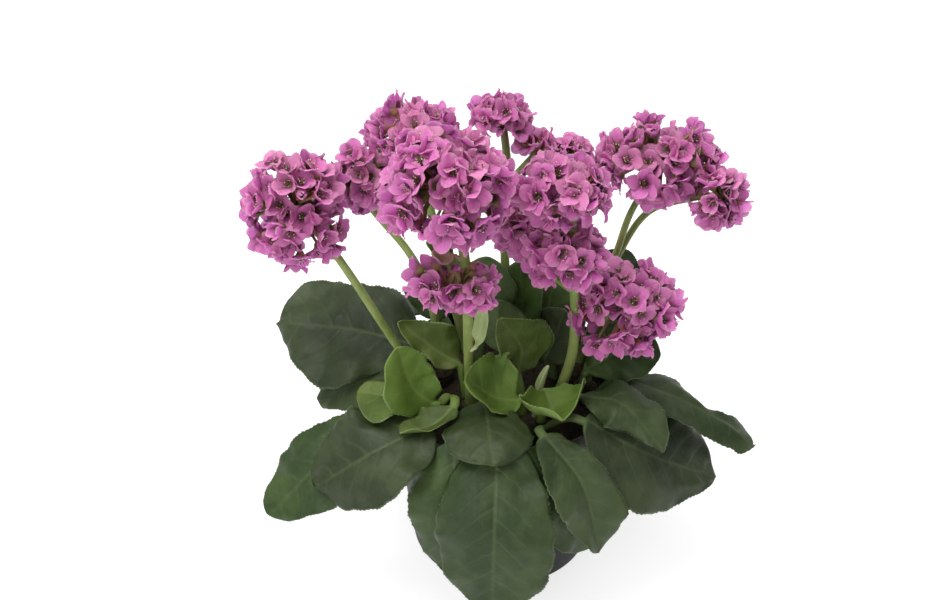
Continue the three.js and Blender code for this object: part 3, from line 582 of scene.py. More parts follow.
# How a head's flowers vary: their turn about it, their reach, the reach of every fourth one, which sits
# further in, their size, how they nod, and how much of their tone is chance; the rest of it is painted light,
# which makes flowers that face up paler and those that face down darker
UNEVEN = {
    "turn": 0.8,
    "reach": 0.2,
    "inner": 0.7,
    "inner_each": 4,
    "size": 0.25,
    "nod": 0.24,
    "tint": 0.6,
}
FORM_SEED = 7
HEAD_SEED = 100
PETAL_COLOURS = [
    (0.0, (0.12, 0.015, 0.035)),
    (0.18, (0.26, 0.04, 0.12)),
    (0.38, (0.52, 0.095, 0.34)),
    (0.75, (0.58, 0.125, 0.375)),
    (1.0, (0.59, 0.17, 0.36)),
]

POT = {
    "height": 110,
    "base": 50,
    "shoulder": 61,
    "rim": 65,
    "rim_height": 10,
    "wall": 1.6,
    "floor": 2.4,
    "bevel": 1.5,
    "holes": 6,
    "hole_radius": 5,
    "hole_reach": 38,
    "channel_reach": 16,
    "channel_width": 7,
    "channel_depth": 1.2,
    "cutter_depth": 20,
    "sharp_angle": 35,
    "sides": 128,
}
SOIL = {
    "edge": 90,
    "crown": 94,
    "gap": 0.3,
    "sides_end": 86,
    "sides": 120,
    "rings": 40,
    "sunk": 0.2,
    "crumb": 2.4,
    "crumb_forms": 5,
    "crumb_seed": 50,
    "crumbs_per_square_metre": 130000.0,
}
# Rhizome: its creeping stem and its upright shoots, ringed by the scars of old leaves
RHIZOME = {
    "stem": 4.7,
    "stem_height": 87,
    "stem_rings": 260,
    "stem_steps": 140,
    "shoot": 7,
    "shoot_foot": 82,
    "shoot_steps": 24,
    "taper": 0.42,
    "taper_height": 6,
    "taper_power": 1.5,
    "ring_pitch": 3.2,
    "ring_depth": 0.45,
    "sides": 18,
}

FLOOR = {"reach": 4000, "colour": (0.5, 0.5, 0.5, 1), "glow": 0.72}
WHITE = (1, 1, 1, 1)
WORLD_STRENGTH = 0.36
# Each light's place and width in metres, and its power
LIGHTS = {
    "above": ((-0.35, -0.05, 1.4), 1.1, 22),
    "front": ((-0.6, -1.2, 0.9), 0.8, 8),
    "back": ((0.5, 1.1, 1.0), 1.0, 5),
}
LIGHT_AIM = (0, 0, 0.12)


class Wire:
    """A value in a node tree. Arithmetic on it adds Math nodes."""

    def __init__(self, tree, socket):
        self.tree = tree
        self.socket = socket

    def also(self, output):
        """Another output of the same node."""
        return Wire(self.tree, self.socket.node.outputs[output])

    def math(self, operation, *values):
        return self.tree.add("ShaderNodeMath", {"operation": operation}, dict(enumerate(values)))

    def __add__(self, other):
        return self.math("ADD", self, other)

    def __radd__(self, other):
        return self.math("ADD", other, self)

    def __sub__(self, other):
        return self.math("SUBTRACT", self, other)

    def __rsub__(self, other):
        return self.math("SUBTRACT", other, self)

    def __mul__(self, other):
        return self.math("MULTIPLY", self, other)

    def __rmul__(self, other):
        return self.math("MULTIPLY", other, self)

    def __truediv__(self, other):
        return self.math("DIVIDE", self, other)

    def __pow__(self, other):
        return self.math("POWER", self, other)

    def __abs__(self):
        return self.math("ABSOLUTE", self)


class Tree:
    """A node tree that is written as expressions."""

    def __init__(self, tree):
        self.tree = tree

    def add(self, kind, settings=None, inputs=None, output=0):
        """A new node: its settings are set first, then its sockets' values and links."""
        node = self.tree.nodes.new(kind)
        for key, value in (settings or {}).items():
            if key == "stops":
                self.set_stops(node.color_ramp, value)
            else:
                setattr(node, key, value)
        for key, value in (inputs or {}).items():
            if isinstance(value, Wire):
                self.tree.links.new(value.socket, node.inputs[key])
            else:
                node.inputs[key].default_value = value
        return Wire(self, node.outputs[output]) if node.outputs else node

    @staticmethod
    def set_stops(ramp, stops):
        while len(ramp.elements) < len(stops):
            ramp.elements.new(1)
        for element, (place, colour) in zip(ramp.elements, stops):
            element.position = place
            element.color = (*colour, 1)


class Finish(Tree):
    """A material whose Principled shader is fed by expressions."""

    def __init__(self, name, **constants):
        self.material = bpy.data.materials.new(name)
        self.material.use_nodes = True
        super().__init__(self.material.node_tree)
        self.shader = self.tree.nodes["Principled BSDF"]
        for socket, value in constants.items():
            self.shader.inputs[socket.replace("_", " ")].default_value = value

    def feed(self, **wires):
        for socket, wire in wires.items():
            self.tree.links.new(wire.socket, self.shader.inputs[socket.replace("_", " ")])
        return self.material

    def place(self):
        """Object coordinates."""
        return self.add("ShaderNodeTexCoord", output="Object")

    def attribute(self, name, output="Fac"):
        return self.add("ShaderNodeAttribute", {"attribute_name": name}, output=output)

    def noise(self, vector, scale, detail=3, roughness=0.55):
        inputs = {"Vector": vector, "Scale": scale, "Detail": detail, "Roughness": roughness}
        return self.add("ShaderNodeTexNoise", inputs=inputs)

    def ramp(self, value, *stops):
        return self.add("ShaderNodeValToRGB", {"stops": stops}, {"Fac": value})

    def mix(self, share, first, second, blend="MIX"):
        first, second = [c if isinstance(c, Wire) else (*c, 1) for c in (first, second)]
        settings = {"data_type": "RGBA", "blend_type": blend}
        return self.add("ShaderNodeMix", settings, {0: share, 6: first, 7: second}, output=2)

    def step(self, value, low, high):
        """0 below low, 1 above high, and smooth between them."""
        inputs = {"Value": value, "From Min": low, "From Max": high}
        return self.add("ShaderNodeMapRange", {"interpolation_type": "SMOOTHSTEP"}, inputs)

    def bump(self, height, distance, strength=1.0):
        inputs = {"Height": height, "Distance": distance, "Strength": strength}
        return self.add("ShaderNodeBump", inputs=inputs)


def smoothstep(value, low, high):
    share = np.clip((value - low) / (high - low), 0, 1)
    return share * share * (3 - 2 * share)


def spline(points, shares):
    """Points and directions on a smooth curve through the given points."""
    points = np.array(points, float)
    knots = np.vstack([2 * points[0] - points[1], points, 2 * points[-1] - points[-2]])
    place = np.clip(np.asarray(shares, float), 0, 1) * (len(points) - 1)
    first = np.minimum(place.astype(int), len(points) - 2)
    t = (place - first)[:, None]
    before, start, end, after = (knots[first + k] for k in range(4))
    leave, arrive = (end - before) / 2, (after - start) / 2
    where = (
        (2 * t**3 - 3 * t**2 + 1) * start
        + (t**3 - 2 * t**2 + t) * leave
        + (3 * t**2 - 2 * t**3) * end
        + (t**3 - t**2) * arrive
    )
    way = 6 * (t**2 - t) * (start - end) + (3 * t**2 - 4 * t + 1) * leave + (3 * t**2 - 2 * t) * arrive
    return where, way / np.maximum(np.linalg.norm(way, axis=1), 1e-9)[:, None]


def in_scene(name, data):
    """A new object of the given data, in the scene."""
    made = bpy.data.objects.new(name, data)
    bpy.context.scene.collection.objects.link(made)
    return made


def set_values(mesh, values):
    """Gives a mesh named values, one for each of its points."""
    for key, value in values.items():
        layer = mesh.attributes.new(key, "FLOAT", "POINT")
        layer.data.foreach_set("value", np.asarray(value, float))


def mesh_object(name, points, faces, uv=None, attributes=None):
    """An object of a mesh given in millimetres, with a UV pair and named values for each of its points."""
    mesh = bpy.data.meshes.new(name)
    mesh.from_pydata((np.asarray(points) * MM).tolist(), [], [list(map(int, face)) for face in faces])
    if uv is not None:
        corners = np.zeros(len(mesh.loops), int)
        mesh.loops.foreach_get("vertex_index", corners)
        mesh.uv_layers.new(name="UVMap").data.foreach_set("uv", np.asarray(uv)[corners].ravel())
    set_values(mesh, attributes or {})
    mesh.shade_smooth()
    return in_scene(name, mesh)


def loft_faces(rings, size):
    """The faces of a closed skin through rings of points, with one point before the first and one after."""
    at = 1 + np.arange(rings * size).reshape(rings, size)
    after = np.roll(at, -1, axis=1)
    last = rings * size + 1
    sides = np.stack([at[:-1], at[1:], after[1:], after[:-1]], axis=-1).reshape(-1, 4)
    start = np.stack([np.zeros(size, int), at[0], after[0]], axis=-1)
    end = np.stack([np.full(size, last), after[-1], at[-1]], axis=-1)
    return [*start, *sides, *end]


def place_piece(piece, material, slot, *nodes):
    """Gives a finished piece its material and body, and hides the nodes that it stands for. Its slot is not
    used.
    """
    piece.data.materials.clear()
    piece.data.materials.append(material)
    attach(piece, "root")
    if nodes:
        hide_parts(*nodes)
    return piece


# Leaves


def leaf_foot(leaf):
    if "foot" in leaf:
        return np.array(leaf["foot"], float)
    x, y = SHOOTS[leaf["shoot"]]
    turn = math.radians(leaf["leaves_at"])
    reach = LEAF["foot_reach"]
    return np.array([x + reach * math.cos(turn), y + reach * math.sin(turn), SHOOT_TOP - LEAF["foot_depth"]])


def turned_about(vectors, axes, angles):
    """Each vector turned about its own axis."""
    cos, sin = np.cos(angles)[:, None], np.sin(angles)[:, None]
    along = (vectors * axes).sum(1)[:, None] * axes
    return vectors * cos + np.cross(axes, vectors) * sin + along * (1 - cos)


def section(share, fold, curl):
    """How far a half blade's section has gone sideways and up, a share of the way to its margin."""
    curl = np.where(np.abs(curl) < 1e-3, 1e-3, curl)
    end = fold + curl * share
    return (np.sin(end) - np.sin(fold)) / curl, (np.cos(fold) - np.cos(end)) / curl


def column_shares(count):
    """Shares of the way from midrib to margin: close together at both, where a blade has its details."""
    even = np.linspace(0, 1, count + 1)
    return 0.5 * even**MIDRIB_POWER + 0.5 * np.sin(even * math.pi / 2) ** MARGIN_POWER


def margin_lines(along, random):
    """How far the margins of both halves stand out along a blade: small uneven teeth, and shallow lobes."""
    hand = np.where(np.arange(len(along))[:, None] % 2, 1, -1)
    teeth = TEETH["height"] * random.uniform(*TEETH["varies"], (len(along), 2)) * hand
    first, second = random.uniform(0, 2 * math.pi, (2, 2))
    lobes = np.sin(along[:, None] / LOBES["length"] + first)
    short = LOBES["short_share"] * np.sin(along[:, None] / LOBES["short_length"] + second)
    return teeth, LOBES["height"] * (lobes + short)


def swells(leaf, blade, across):
    """The height of a blade's own swells at each place."""
    height = np.zeros_like(across * blade)
    for along, side, size, rise in leaf.get("swells", ()):
        away = ((blade - along) / size) ** 2 + ((across - side) / (SWELL_WIDTH * size)) ** 2
        height += rise * np.exp(-away)
    return height


def leaf_path(leaf):
    """What a leaf's midline runs through: foot, the elbow of the petiole, neck, middle and tip."""
    foot = leaf_foot(leaf)
    neck, middle, tip = (np.array(leaf[key], float) for key in ("neck", "middle", "tip"))
    elbow = (foot + neck) / 2 + np.array([0, 0, leaf.get("lift", LEAF["lift"])])
    return [foot, elbow, neck, middle, tip]


def leaf_rows(detail):
    """The rows' shares of the midline: even along the petiole, and drawn together towards the blade's tip."""
    even = np.linspace(0, 1, detail["blade_rows"] + 1)[:-1]
    blade_rows = 1 - (1 - even) ** ROWS_POWER
    stem_rows = np.linspace(0, 0.5, detail["stem_rows"], endpoint=False)
    return np.concatenate([stem_rows, 0.5 + blade_rows / 2])


def leaf_midline(leaf, path, shares, opened):
    """The midline's point at each row, and the ways to its side and up from it, turned by the leaf's roll."""
    centre, forward = spline(path, shares)
    foot, _, _, middle, tip = path
    outward = (middle + tip) / 2 - foot
    outward[2] = 0
    outward /= np.linalg.norm(outward)
    level = np.array([-outward[1], outward[0], 0])
    side = level - (forward @ level)[:, None] * forward
    side /= np.linalg.norm(side, axis=1)[:, None]
    side = turned_about(side, forward, np.radians(leaf.get("roll", 0)) * opened)
    return centre, side, np.cross(forward, side)


def from_neck(centre, neck_row):
    """How far along the midline each row lies from the neck."""
    steps = np.linalg.norm(np.diff(centre, axis=0), axis=1)
    along = np.concatenate([[0], np.cumsum(steps)])
    return along - along[neck_row]


def half_widths(leaf, blade, along, random):
    """The width of a leaf's two halves at each row, with its lobes, and how far its teeth stand out."""
    outline = np.sin(math.pi * blade ** LEAF["widest_power"]) ** LEAF["roundness"]
    toothed = smoothstep(blade, *TEETH["begin"]) * (leaf["width"] > TEETH["over_width"])
    teeth, lobes = [toothed[:, None] * line for line in margin_lines(along, random)]
    halves = leaf.get("halves", ((1, 1), (1, 1)))
    shape = np.stack([spline([(share,) for share in half], blade)[0][:, 0] for half in halves], 1)
    stem = leaf.get("stem", LEAF["stem"]) * (1 - blade[:, None])
    return stem + leaf["width"] / 2 * outline[:, None] * shape + lobes, teeth


def leaf_relief(leaf, at, random):
    """How far a blade rises at each place: the waves of its margin, its swells, and its slow unevenness."""
    ripple = leaf["wave"] * at.away**2 * np.sin(
        2 * math.pi * (LEAF["waves"] * at.blade + LEAF["wave_shift"] * at.which[None, :])
    )
    lateral = (at.along - VEINS["lean"] * at.distance - VEINS["bend"] * at.distance**2) / VEINS["spacing"]
    between = 0.5 - 0.5 * np.cos(2 * math.pi * (lateral + 0.5 * at.which[None, :]))
    swell = VEINS["swell"] * between * smoothstep(at.distance, *VEINS["swell_from"]) * (1 - at.away**4)
    phases = random.uniform(0, 2 * math.pi, 4)
    across = at.hand * at.distance
    length = UNEVEN_BLADE["length"]
    margin = at.along / (UNEVEN_BLADE["margin"] * length)
    uneven = UNEVEN_BLADE["height"] * (
        np.sin(2 * math.pi * at.along / length + phases[0] + across / UNEVEN_BLADE["lean_out"])
        + np.sin(
            2 * math.pi * across / (UNEVEN_BLADE["across"] * length)
            + phases[1]
            + at.along / UNEVEN_BLADE["lean_along"]
        )
        + UNEVEN_BLADE["margin_share"] * np.sin(2 * math.pi * margin + phases[2]) * at.away**2
    )
    own = swells(leaf, at.blade, at.hand * at.away)
    share = min(1, leaf["width"] / VEINS["full_width"])
    return at.opened * (ripple + own + (swell + uneven * at.away) * share)


def leaf_skins(leaf, at):
    """How far a leaf's two skins lie from its middle: round in the petiole, and thin in the blade.

    The upper skin has a groove along the midrib, and the lower one the rib.
    """
    stout = leaf.get("stem", LEAF["stem"]) / LEAF["stem"]
    fading = stout * (1 - LEAF["rib_fading"] * at.blade)
    groove = LEAF["groove_depth"] * fading * np.exp(-((at.distance / LEAF["groove_width"]) ** 2))
    rib = LEAF["rib_depth"] * fading * np.exp(-((at.distance / LEAF["rib_width"]) ** 2))
    margin = LEAF["margin_thickness"]
    flesh = np.where(at.away < 1, margin, 0) + (LEAF["thickness"] - margin) * (1 - at.away**6)
    round_stem = np.sqrt(np.maximum(0, 1 - at.away**2)) * stout
    top = (1 - at.opened) * LEAF["stem_rise"] * round_stem + at.opened * (flesh / 2 - groove)
    bottom = (1 - at.opened) * LEAF["stem_keel"] * round_stem + at.opened * (flesh / 2 + rib)
    return top, bottom


def leaf_layers(leaf, at):
    """What a leaf's finish reads: its UV map from its neck and its midrib, and values for each point."""
    rows, count = at.distance.shape

    def around(values, end):
        values = np.broadcast_to(values, (rows, count))
        ringed = np.concatenate([values, values[:, -2:0:-1]], axis=1)
        return np.concatenate([[ringed[0].mean()], ringed.ravel(), [end]])

    uv = np.stack([around(at.hand * at.distance, 0), around(at.along, at.along[-1, 0])], axis=1) / LEAF_UV
    under = np.concatenate([np.zeros((rows, count)), np.ones((rows, count - 2))], axis=1)
    attributes = {
        "fresh": np.full(len(uv), leaf.get("fresh", LEAF["fresh"])),
        "margin": around(at.away * at.opened, 1),
        "blade": around(at.blade, 1),
        "under": np.concatenate([[0], under.ravel(), [0]]),
    }
    return uv, attributes


def make_leaf(name, leaf, seed):
    """A leaf as one closed skin: rows of points along its midline, each row round both of its sides."""
    random = np.random.default_rng(seed)
    detail = LARGE_LEAF if leaf["width"] > LARGE_LEAF["over_width"] else SMALL_LEAF
    path = leaf_path(leaf)
    shares = leaf_rows(detail)
    blade = np.maximum(0, 2 * shares - 1)
    opened = smoothstep(blade, 0, leaf.get("opens", LEAF["opens"]))
    centre, side, up = leaf_midline(leaf, path, shares, opened)
    along = from_neck(centre, detail["stem_rows"])
    widths, teeth = half_widths(leaf, blade, along, random)

    away = column_shares(detail["columns"])
    columns = np.concatenate([-away[:0:-1], away])
    which = (columns > 0).astype(int)
    half = widths[:, which]
    at = SimpleNamespace(
        blade=blade[:, None],
        opened=opened[:, None],
        along=along[:, None],
        away=np.abs(columns)[None, :],
        hand=np.sign(columns)[None, :],
        which=which,
        distance=np.abs(columns)[None, :] * half,
    )
    fold, curl = (
        np.radians(np.array(leaf[key], float)[which])[None, :] * at.opened for key in ("fold", "curl")
    )
    across, rise = section(at.away, fold, curl)
    lean = fold + curl * at.away
    out = at.hand * across * half + at.hand * teeth[:, which] * (at.away > AT_MARGIN)
    lift = rise * half + leaf_relief(leaf, at, random)
    normal = np.cos(lean)[..., None] * up[:, None] - (at.hand * np.sin(lean))[..., None] * side[:, None]
    base = centre[:, None] + out[..., None] * side[:, None] + lift[..., None] * up[:, None]
    top, bottom = leaf_skins(leaf, at)
    above = base + top[..., None] * normal
    below = base - bottom[..., None] * normal
    rings = np.concatenate([above, below[:, -2:0:-1]], axis=1)
    points = np.vstack([spline(path, [0])[0], rings.reshape(-1, 3), spline(path, [1])[0]])
    uv, attributes = leaf_layers(leaf, at)
    return mesh_object("fine_" + name, points, loft_faces(*rings.shape[:2]), uv, attributes)


def leaf_finish(name, dull, fresh, vein, edge, under, roughness):
    """A leaf's skin: mottled green, paler veins in relief with a fine net between them, and a thin pale edge.

    Dull and fresh are each a dark and a light green, and each leaf says how fresh it is.
    """
    finish = Finish(name, Specular_IOR_Level=0.3)
    where = finish.place()
    uv = finish.add("ShaderNodeUVMap", {"uv_map": "UVMap"})
    parts = finish.add("ShaderNodeSeparateXYZ", inputs={0: uv})
    across, along = parts * LEAF_UV, parts.also("Y") * LEAF_UV
    distance = abs(across)
    other_half = finish.step(across, -0.01, 0.01) * 0.5
    lateral = (along - distance * VEINS["lean"] - distance * distance * VEINS["bend"]) / VEINS["spacing"]
    lateral = lateral + other_half + finish.noise(uv, 14, 2) * 0.35
    offset = abs(lateral.math("FRACT", lateral + 0.5) - 0.5) * VEINS["spacing"]
    blade = finish.attribute("blade")
    margin = finish.attribute("margin")
    freshness = finish.attribute("fresh")
    on_blade = finish.step(blade, 0.0, 0.12)
    side_vein = (1 - finish.step(offset, 0.0, 1.5)) * (1 - margin) * on_blade
    midrib = 1 - finish.step(distance, 0.1, 1.6)
    warp = finish.add("ShaderNodeTexNoise", inputs={"Vector": uv, "Scale": 9.0}, output="Color")
    warped = finish.add("ShaderNodeVectorMath", {"operation": "ADD"}, {0: uv, 1: warp})
    cells = finish.add(
        "ShaderNodeTexVoronoi", {"feature": "DISTANCE_TO_EDGE"}, {"Vector": warped, "Scale": 34.0}
    )
    net = (1 - finish.step(cells, 0.0, 0.11)) * on_blade
    broad = finish.noise(where, 26, 3)
    middle = finish.noise(where, 75, 3)
    fine = finish.noise(where, 240, 4, 0.6)
    tone = finish.step(broad * 0.6 + middle * 0.25 + fine * 0.15, 0.38, 0.62)
    top = finish.mix(freshness, finish.mix(tone, *dull), finish.mix(tone, *fresh))
    top = finish.mix(net * 0.05, top, vein)
    top = finish.mix(side_vein * 0.14, top, vein)
    top = finish.mix(midrib * (0.42 - 0.32 * blade), top, vein)
    bottom = finish.mix(net * 0.3 + side_vein * 0.5, under, vein)
    colour = finish.mix(finish.attribute("under"), top, bottom)
    colour = finish.mix(finish.step(margin, 0.955, 0.985) * 0.8, colour, edge)
    stem_colour = finish.mix(0.3 + tone * 0.3, fresh[1], vein)
    colour = finish.mix(1 - finish.step(blade, 0.0, 0.05), colour, stem_colour)
    relief = middle * 3 + fine * 0.3 - net * 0.25 - side_vein * 0.6
    rough = roughness + broad * 0.16 + net * 0.06
    return finish.feed(Base_Color=colour, Roughness=rough, Normal=finish.bump(relief, 0.0004, 0.6))


def make_leaves():
    finishes = {name: leaf_finish(name, **colours) for name, colours in LEAF_COLOURS.items()}
    for seed, (name, leaf) in enumerate(LEAVES.items()):
        kind = leaf.get("finish", "old_leaf")
        slot = "bract" if name.startswith("bract") else LEAF_SLOTS[kind]
        place_piece(make_leaf(name, leaf, seed), finishes[kind], slot, name)


# What repeats or follows a path, by Geometry Nodes


def new_tree(name, **sockets):
    """A Geometry Nodes tree with the named inputs. Returns it with its inputs as wires."""
    group = bpy.data.node_groups.new(name, "GeometryNodeTree")
    group.interface.new_socket("Geometry", in_out="INPUT", socket_type="NodeSocketGeometry")
    for socket, kind in sockets.items():
        group.interface.new_socket(socket, in_out="INPUT", socket_type="NodeSocket" + kind)
    group.interface.new_socket("Geometry", in_out="OUTPUT", socket_type="NodeSocketGeometry")
    tree = Tree(group)
    inputs = tree.add("NodeGroupInput")
    return tree, inputs


def end_tree(tree, geometry, material):
    """Realizes the instances, sets the material and ends the tree."""
    real = tree.add("GeometryNodeRealizeInstances", inputs={0: geometry})
    done = tree.add("GeometryNodeSetMaterial", inputs={"Geometry": real, "Material": material})
    tree.add("NodeGroupOutput", inputs={0: done})
    return tree.tree


def named(tree, name, kind="FLOAT"):
    return tree.add("GeometryNodeInputNamedAttribute", {"data_type": kind}, {"Name": name})


def forms_in(tree, folder):
    """The drawn forms of a collection, each to be placed by itself."""
    inputs = {"Collection": folder, "Separate Children": True, "Reset Children": True}
    return tree.add("GeometryNodeCollectionInfo", inputs=inputs)


def flower_tree():
    """Stands one of the drawn forms on each point, turned to its way and spun, as large as its size says."""
    tree, points = new_tree("flowers on points", Forms="Collection", Material="Material")
    forms = forms_in(tree, points.also("Forms"))
    way = named(tree, "way", "FLOAT_VECTOR")
    angle = named(tree, "spin")
    spin = tree.add("FunctionNodeAxisAngleToRotation", inputs={"Axis": (0, 0, 1), "Angle": angle})
    turned = tree.add("FunctionNodeAlignRotationToVector", {"axis": "Z"}, {"Vector": way})
    rotation = tree.add(
        "FunctionNodeRotateRotation", {"rotation_space": "LOCAL"}, {"Rotation": turned, "Rotate By": spin}
    )
    flowers = tree.add(
        "GeometryNodeInstanceOnPoints",
        inputs={
            "Points": points,
            "Instance": forms,
            "Pick Instance": True,
            "Instance Index": named(tree, "form", "INT"),
            "Rotation": rotation,
            "Scale": named(tree, "size"),
        },
    )
    return end_tree(tree, flowers, points.also("Material"))


def stem_tree():
    """A round stem along each chain of edges, as thick as the edges' points say."""
    tree, edges = new_tree("stems along edges", Sides="Int", Material="Material")
    curve = tree.add("GeometryNodeMeshToCurve", inputs={"Mesh": edges})
    circle = {"Resolution": edges.also("Sides"), "Radius": 1.0}
    profile = tree.add("GeometryNodeCurvePrimitiveCircle", inputs=circle)
    inputs = {"Curve": curve, "Profile Curve": profile, "Scale": named(tree, "thickness"), "Fill Caps": True}
    stems = tree.add("GeometryNodeCurveToMesh", inputs=inputs)
    smooth = tree.add("GeometryNodeSetShadeSmooth", inputs={0: stems, "Shade Smooth": True})
    return end_tree(tree, smooth, edges.also("Material"))


def crumb_tree():
    """Scatters crumbs over a surface, turned at random and of random size."""
    inputs = {"Crumbs": "Collection", "Density": "Float", "Seed": "Int", "Material": "Material"}
    tree, surface = new_tree("crumbs on soil", **inputs)
    seed = surface.also("Seed")
    spread = tree.add(
        "GeometryNodeDistributePointsOnFaces",
        inputs={"Mesh": surface, "Density": surface.also("Density"), "Seed": seed},
    )
    crumbs = forms_in(tree, surface.also("Crumbs"))
    turn = tree.add(
        "FunctionNodeRandomValue",
        {"data_type": "FLOAT_VECTOR"},
        {0: (0, 0, 0), 1: (6.28, 6.28, 6.28), "Seed": seed},
    )
    size = tree.add(
        "FunctionNodeRandomValue", {"data_type": "FLOAT"}, {2: 0.35, 3: 1.0, "Seed": seed}, output=1
    )
    scattered = tree.add(
        "GeometryNodeInstanceOnPoints",
        inputs={"Points": spread, "Instance": crumbs, "Pick Instance": True, "Rotation": turn, "Scale": size},
    )
    return end_tree(tree, scattered, surface.also("Material"))


def grown(name, source, tree, **inputs):
    """The plain mesh that a tree makes of a source object, which is then removed."""
    modifier = source.modifiers.new(name, "NODES")
    modifier.node_group = tree
    sockets = {item.name: item.identifier for item in tree.interface.items_tree if item.in_out == "INPUT"}
    for key, value in inputs.items():
        modifier[sockets[key]] = value
    bpy.context.view_layer.update()
    evaluated = source.evaluated_get(bpy.context.evaluated_depsgraph_get())
    mesh = bpy.data.meshes.new_from_object(evaluated)
    mesh.name = name
    made = in_scene(name, mesh)
    bpy.data.objects.remove(source)
    return made


def chains_object(name, chains):
    """An object of edges: each chain is its points, their thickness and their share of the way along."""
    points, edges, thickness, shares = [], [], [], []
    for chain, radii in chains:
        first = len(points)
        points.extend(chain)
        thickness.extend(np.broadcast_to(radii, len(chain)))
        shares.extend(np.linspace(0, 1, len(chain)))
        edges.extend((k, k + 1) for k in range(first, len(points) - 1))
    mesh = bpy.data.meshes.new(name)
    mesh.from_pydata((np.array(points) * MM).tolist(), edges, [])
    set_values(mesh, {"thickness": np.array(thickness) * MM, "along": shares})
    return in_scene(name, mesh)


# Flowers


def shell_of(grid, thickness):
    """A closed thin shell on both sides of a grid of points, which meet in its edge: its points and faces."""
    rows, columns = grid.shape[:2]
    down, right = np.gradient(grid, axis=0), np.gradient(grid, axis=1)
    normal = np.cross(right, down)
    normal /= np.linalg.norm(normal, axis=2)[..., None] + 1e-9
    rim = np.zeros((rows, columns))
    rim[1:-1, 1:-1] = 1
    offset = (normal * (rim * thickness / 2)[..., None]).reshape(-1, 3)
    inner = np.flatnonzero(rim)
    grid = grid.reshape(-1, 3)
    points = np.concatenate([grid + offset, (grid - offset)[inner]])
    near = np.arange(rows * columns)
    far = near.copy()
    far[inner] = rows * columns + np.arange(len(inner))
    at = near.reshape(rows, columns)
    quads = np.stack([at[:-1, :-1], at[1:, :-1], at[1:, 1:], at[:-1, 1:]], axis=-1).reshape(-1, 4)
    return points, [*quads[:, ::-1], *far[quads]], inner


def bezier(points, t):
    a, b, c, d = np.array(points, float)
    t = t[:, None]
    return a * (1 - t) ** 3 + 3 * b * t * (1 - t) ** 2 + 3 * c * t**2 * (1 - t) + d * t**3


def petal_half_width(form, t, random):
    """A petal's half width at each share of the way from its claw to its round tip."""
    widest, claw = PETAL["widest"], PETAL["claw"]
    full = form["half"] * random.uniform(*PETAL["size"])
    half = claw + (full - claw) * smoothstep(t, 0, widest)
    return half * np.sqrt(1 - (np.maximum(0, t - widest) / (1 - widest)) ** 2) ** PETAL["tip_roundness"]


def petal_lift(across, s, t, random):
    """How far a petal rises at each place: its ruffled edge, its tilt over the next petal, and its cup."""
    round_edge = np.arctan2(across, 8 * (t - PETAL["ruffle_middle"]))
    near_edge = t**2 * np.maximum(s**2, t**4)
    first, second = random.uniform(0, 2 * math.pi, 2)
    long, short = PETAL["ruffles"]
    waves = np.sin(long * round_edge + first) + PETAL["short_ruffle"] * np.sin(short * round_edge + second)
    overlap = PETAL["overlap"] + random.normal(0, PETAL["twist"])
    tilt = overlap * s * smoothstep(t, *PETAL["overlap_from"])
    return PETAL["ruffle"] * near_edge * waves + tilt + random.normal(*PETAL["cup"]) * (t * s) ** 2


def petal_grid(form, random):
    """One petal that points along +X, as a grid of points from its claw to its tip."""
    widest, turn = PETAL["widest"], PETAL["column_turn"]
    lower = np.linspace(0, widest, PETAL["lower_rows"], endpoint=False)
    round_tip = np.radians(np.linspace(0, PETAL["tip_turn"], PETAL["tip_rows"] + 1))
    t = np.concatenate([lower, widest + (1 - widest) * np.sin(round_tip)])
    s = np.sin(np.linspace(-turn, turn, PETAL["columns"] + 1)) / math.sin(turn)
    way = form["way"] + random.normal(0, PETAL["uneven"], (4, 2)) * PETAL["uneven_way"]
    midline = bezier(way, t)
    radius, height = midline[:, :1], midline[:, 1:]
    across = petal_half_width(form, t, random)[:, None] * s
    wrap = (PETAL["wrap"] - PETAL["unwrap"] * t)[:, None]
    out = radius - wrap * (radius - radius * np.cos(across / radius))
    sideways = (1 - wrap) * across + wrap * radius * np.sin(across / radius)
    lift = petal_lift(across, s, t[:, None], random)
    return np.stack([out - PETAL["lean_in"] * lift, sideways, height + lift], axis=-1), s, t


def corolla(name, form, random):
    """One flower's petals, each a closed thin shell, with a UV map from edge to edge and from claw to tip."""
    points, faces, uv = [], [], []
    for k in range(PETAL["count"]):
        grid, s, t = petal_grid(form, random)
        shell, quads, inner = shell_of(grid, PETAL["thickness"])
        turn = 2 * math.pi * k / PETAL["count"] + random.normal(0, PETAL["turn"])
        spin = np.array(Matrix.Rotation(turn, 3, "Z"))
        faces.extend(np.array(q) + sum(map(len, points)) for q in quads)
        points.append(shell @ spin.T)
        pairs = np.stack(np.meshgrid(s / 2 + 0.5, t), axis=-1).reshape(-1, 2)
        uv.append(np.concatenate([pairs, pairs[inner]]))
    made = mesh_object(name, np.concatenate(points), faces, np.concatenate(uv))
    made.data.set_sharp_from_angle(angle=math.radians(PETAL["sharp_angle"]))
    return made


def rod(start, end, start_radius, end_radius, sides):
    """A closed tapered rod: its points and faces."""
    start, end = Vector(start), Vector(end)
    turn = (end - start).to_track_quat("Z", "Y")
    points = []
    for place, radius in ((start, start_radius), (end, end_radius)):
        for k in range(sides):
            angle = 2 * math.pi * k / sides
            points.append(place + turn @ Vector((radius * math.cos(angle), radius * math.sin(angle), 0)))
    faces = [(k, (k + 1) % sides, sides + (k + 1) % sides, sides + k) for k in range(sides)]
    return [list(p) for p in points], [*faces, tuple(range(sides))[::-1], tuple(range(sides, 2 * sides))]


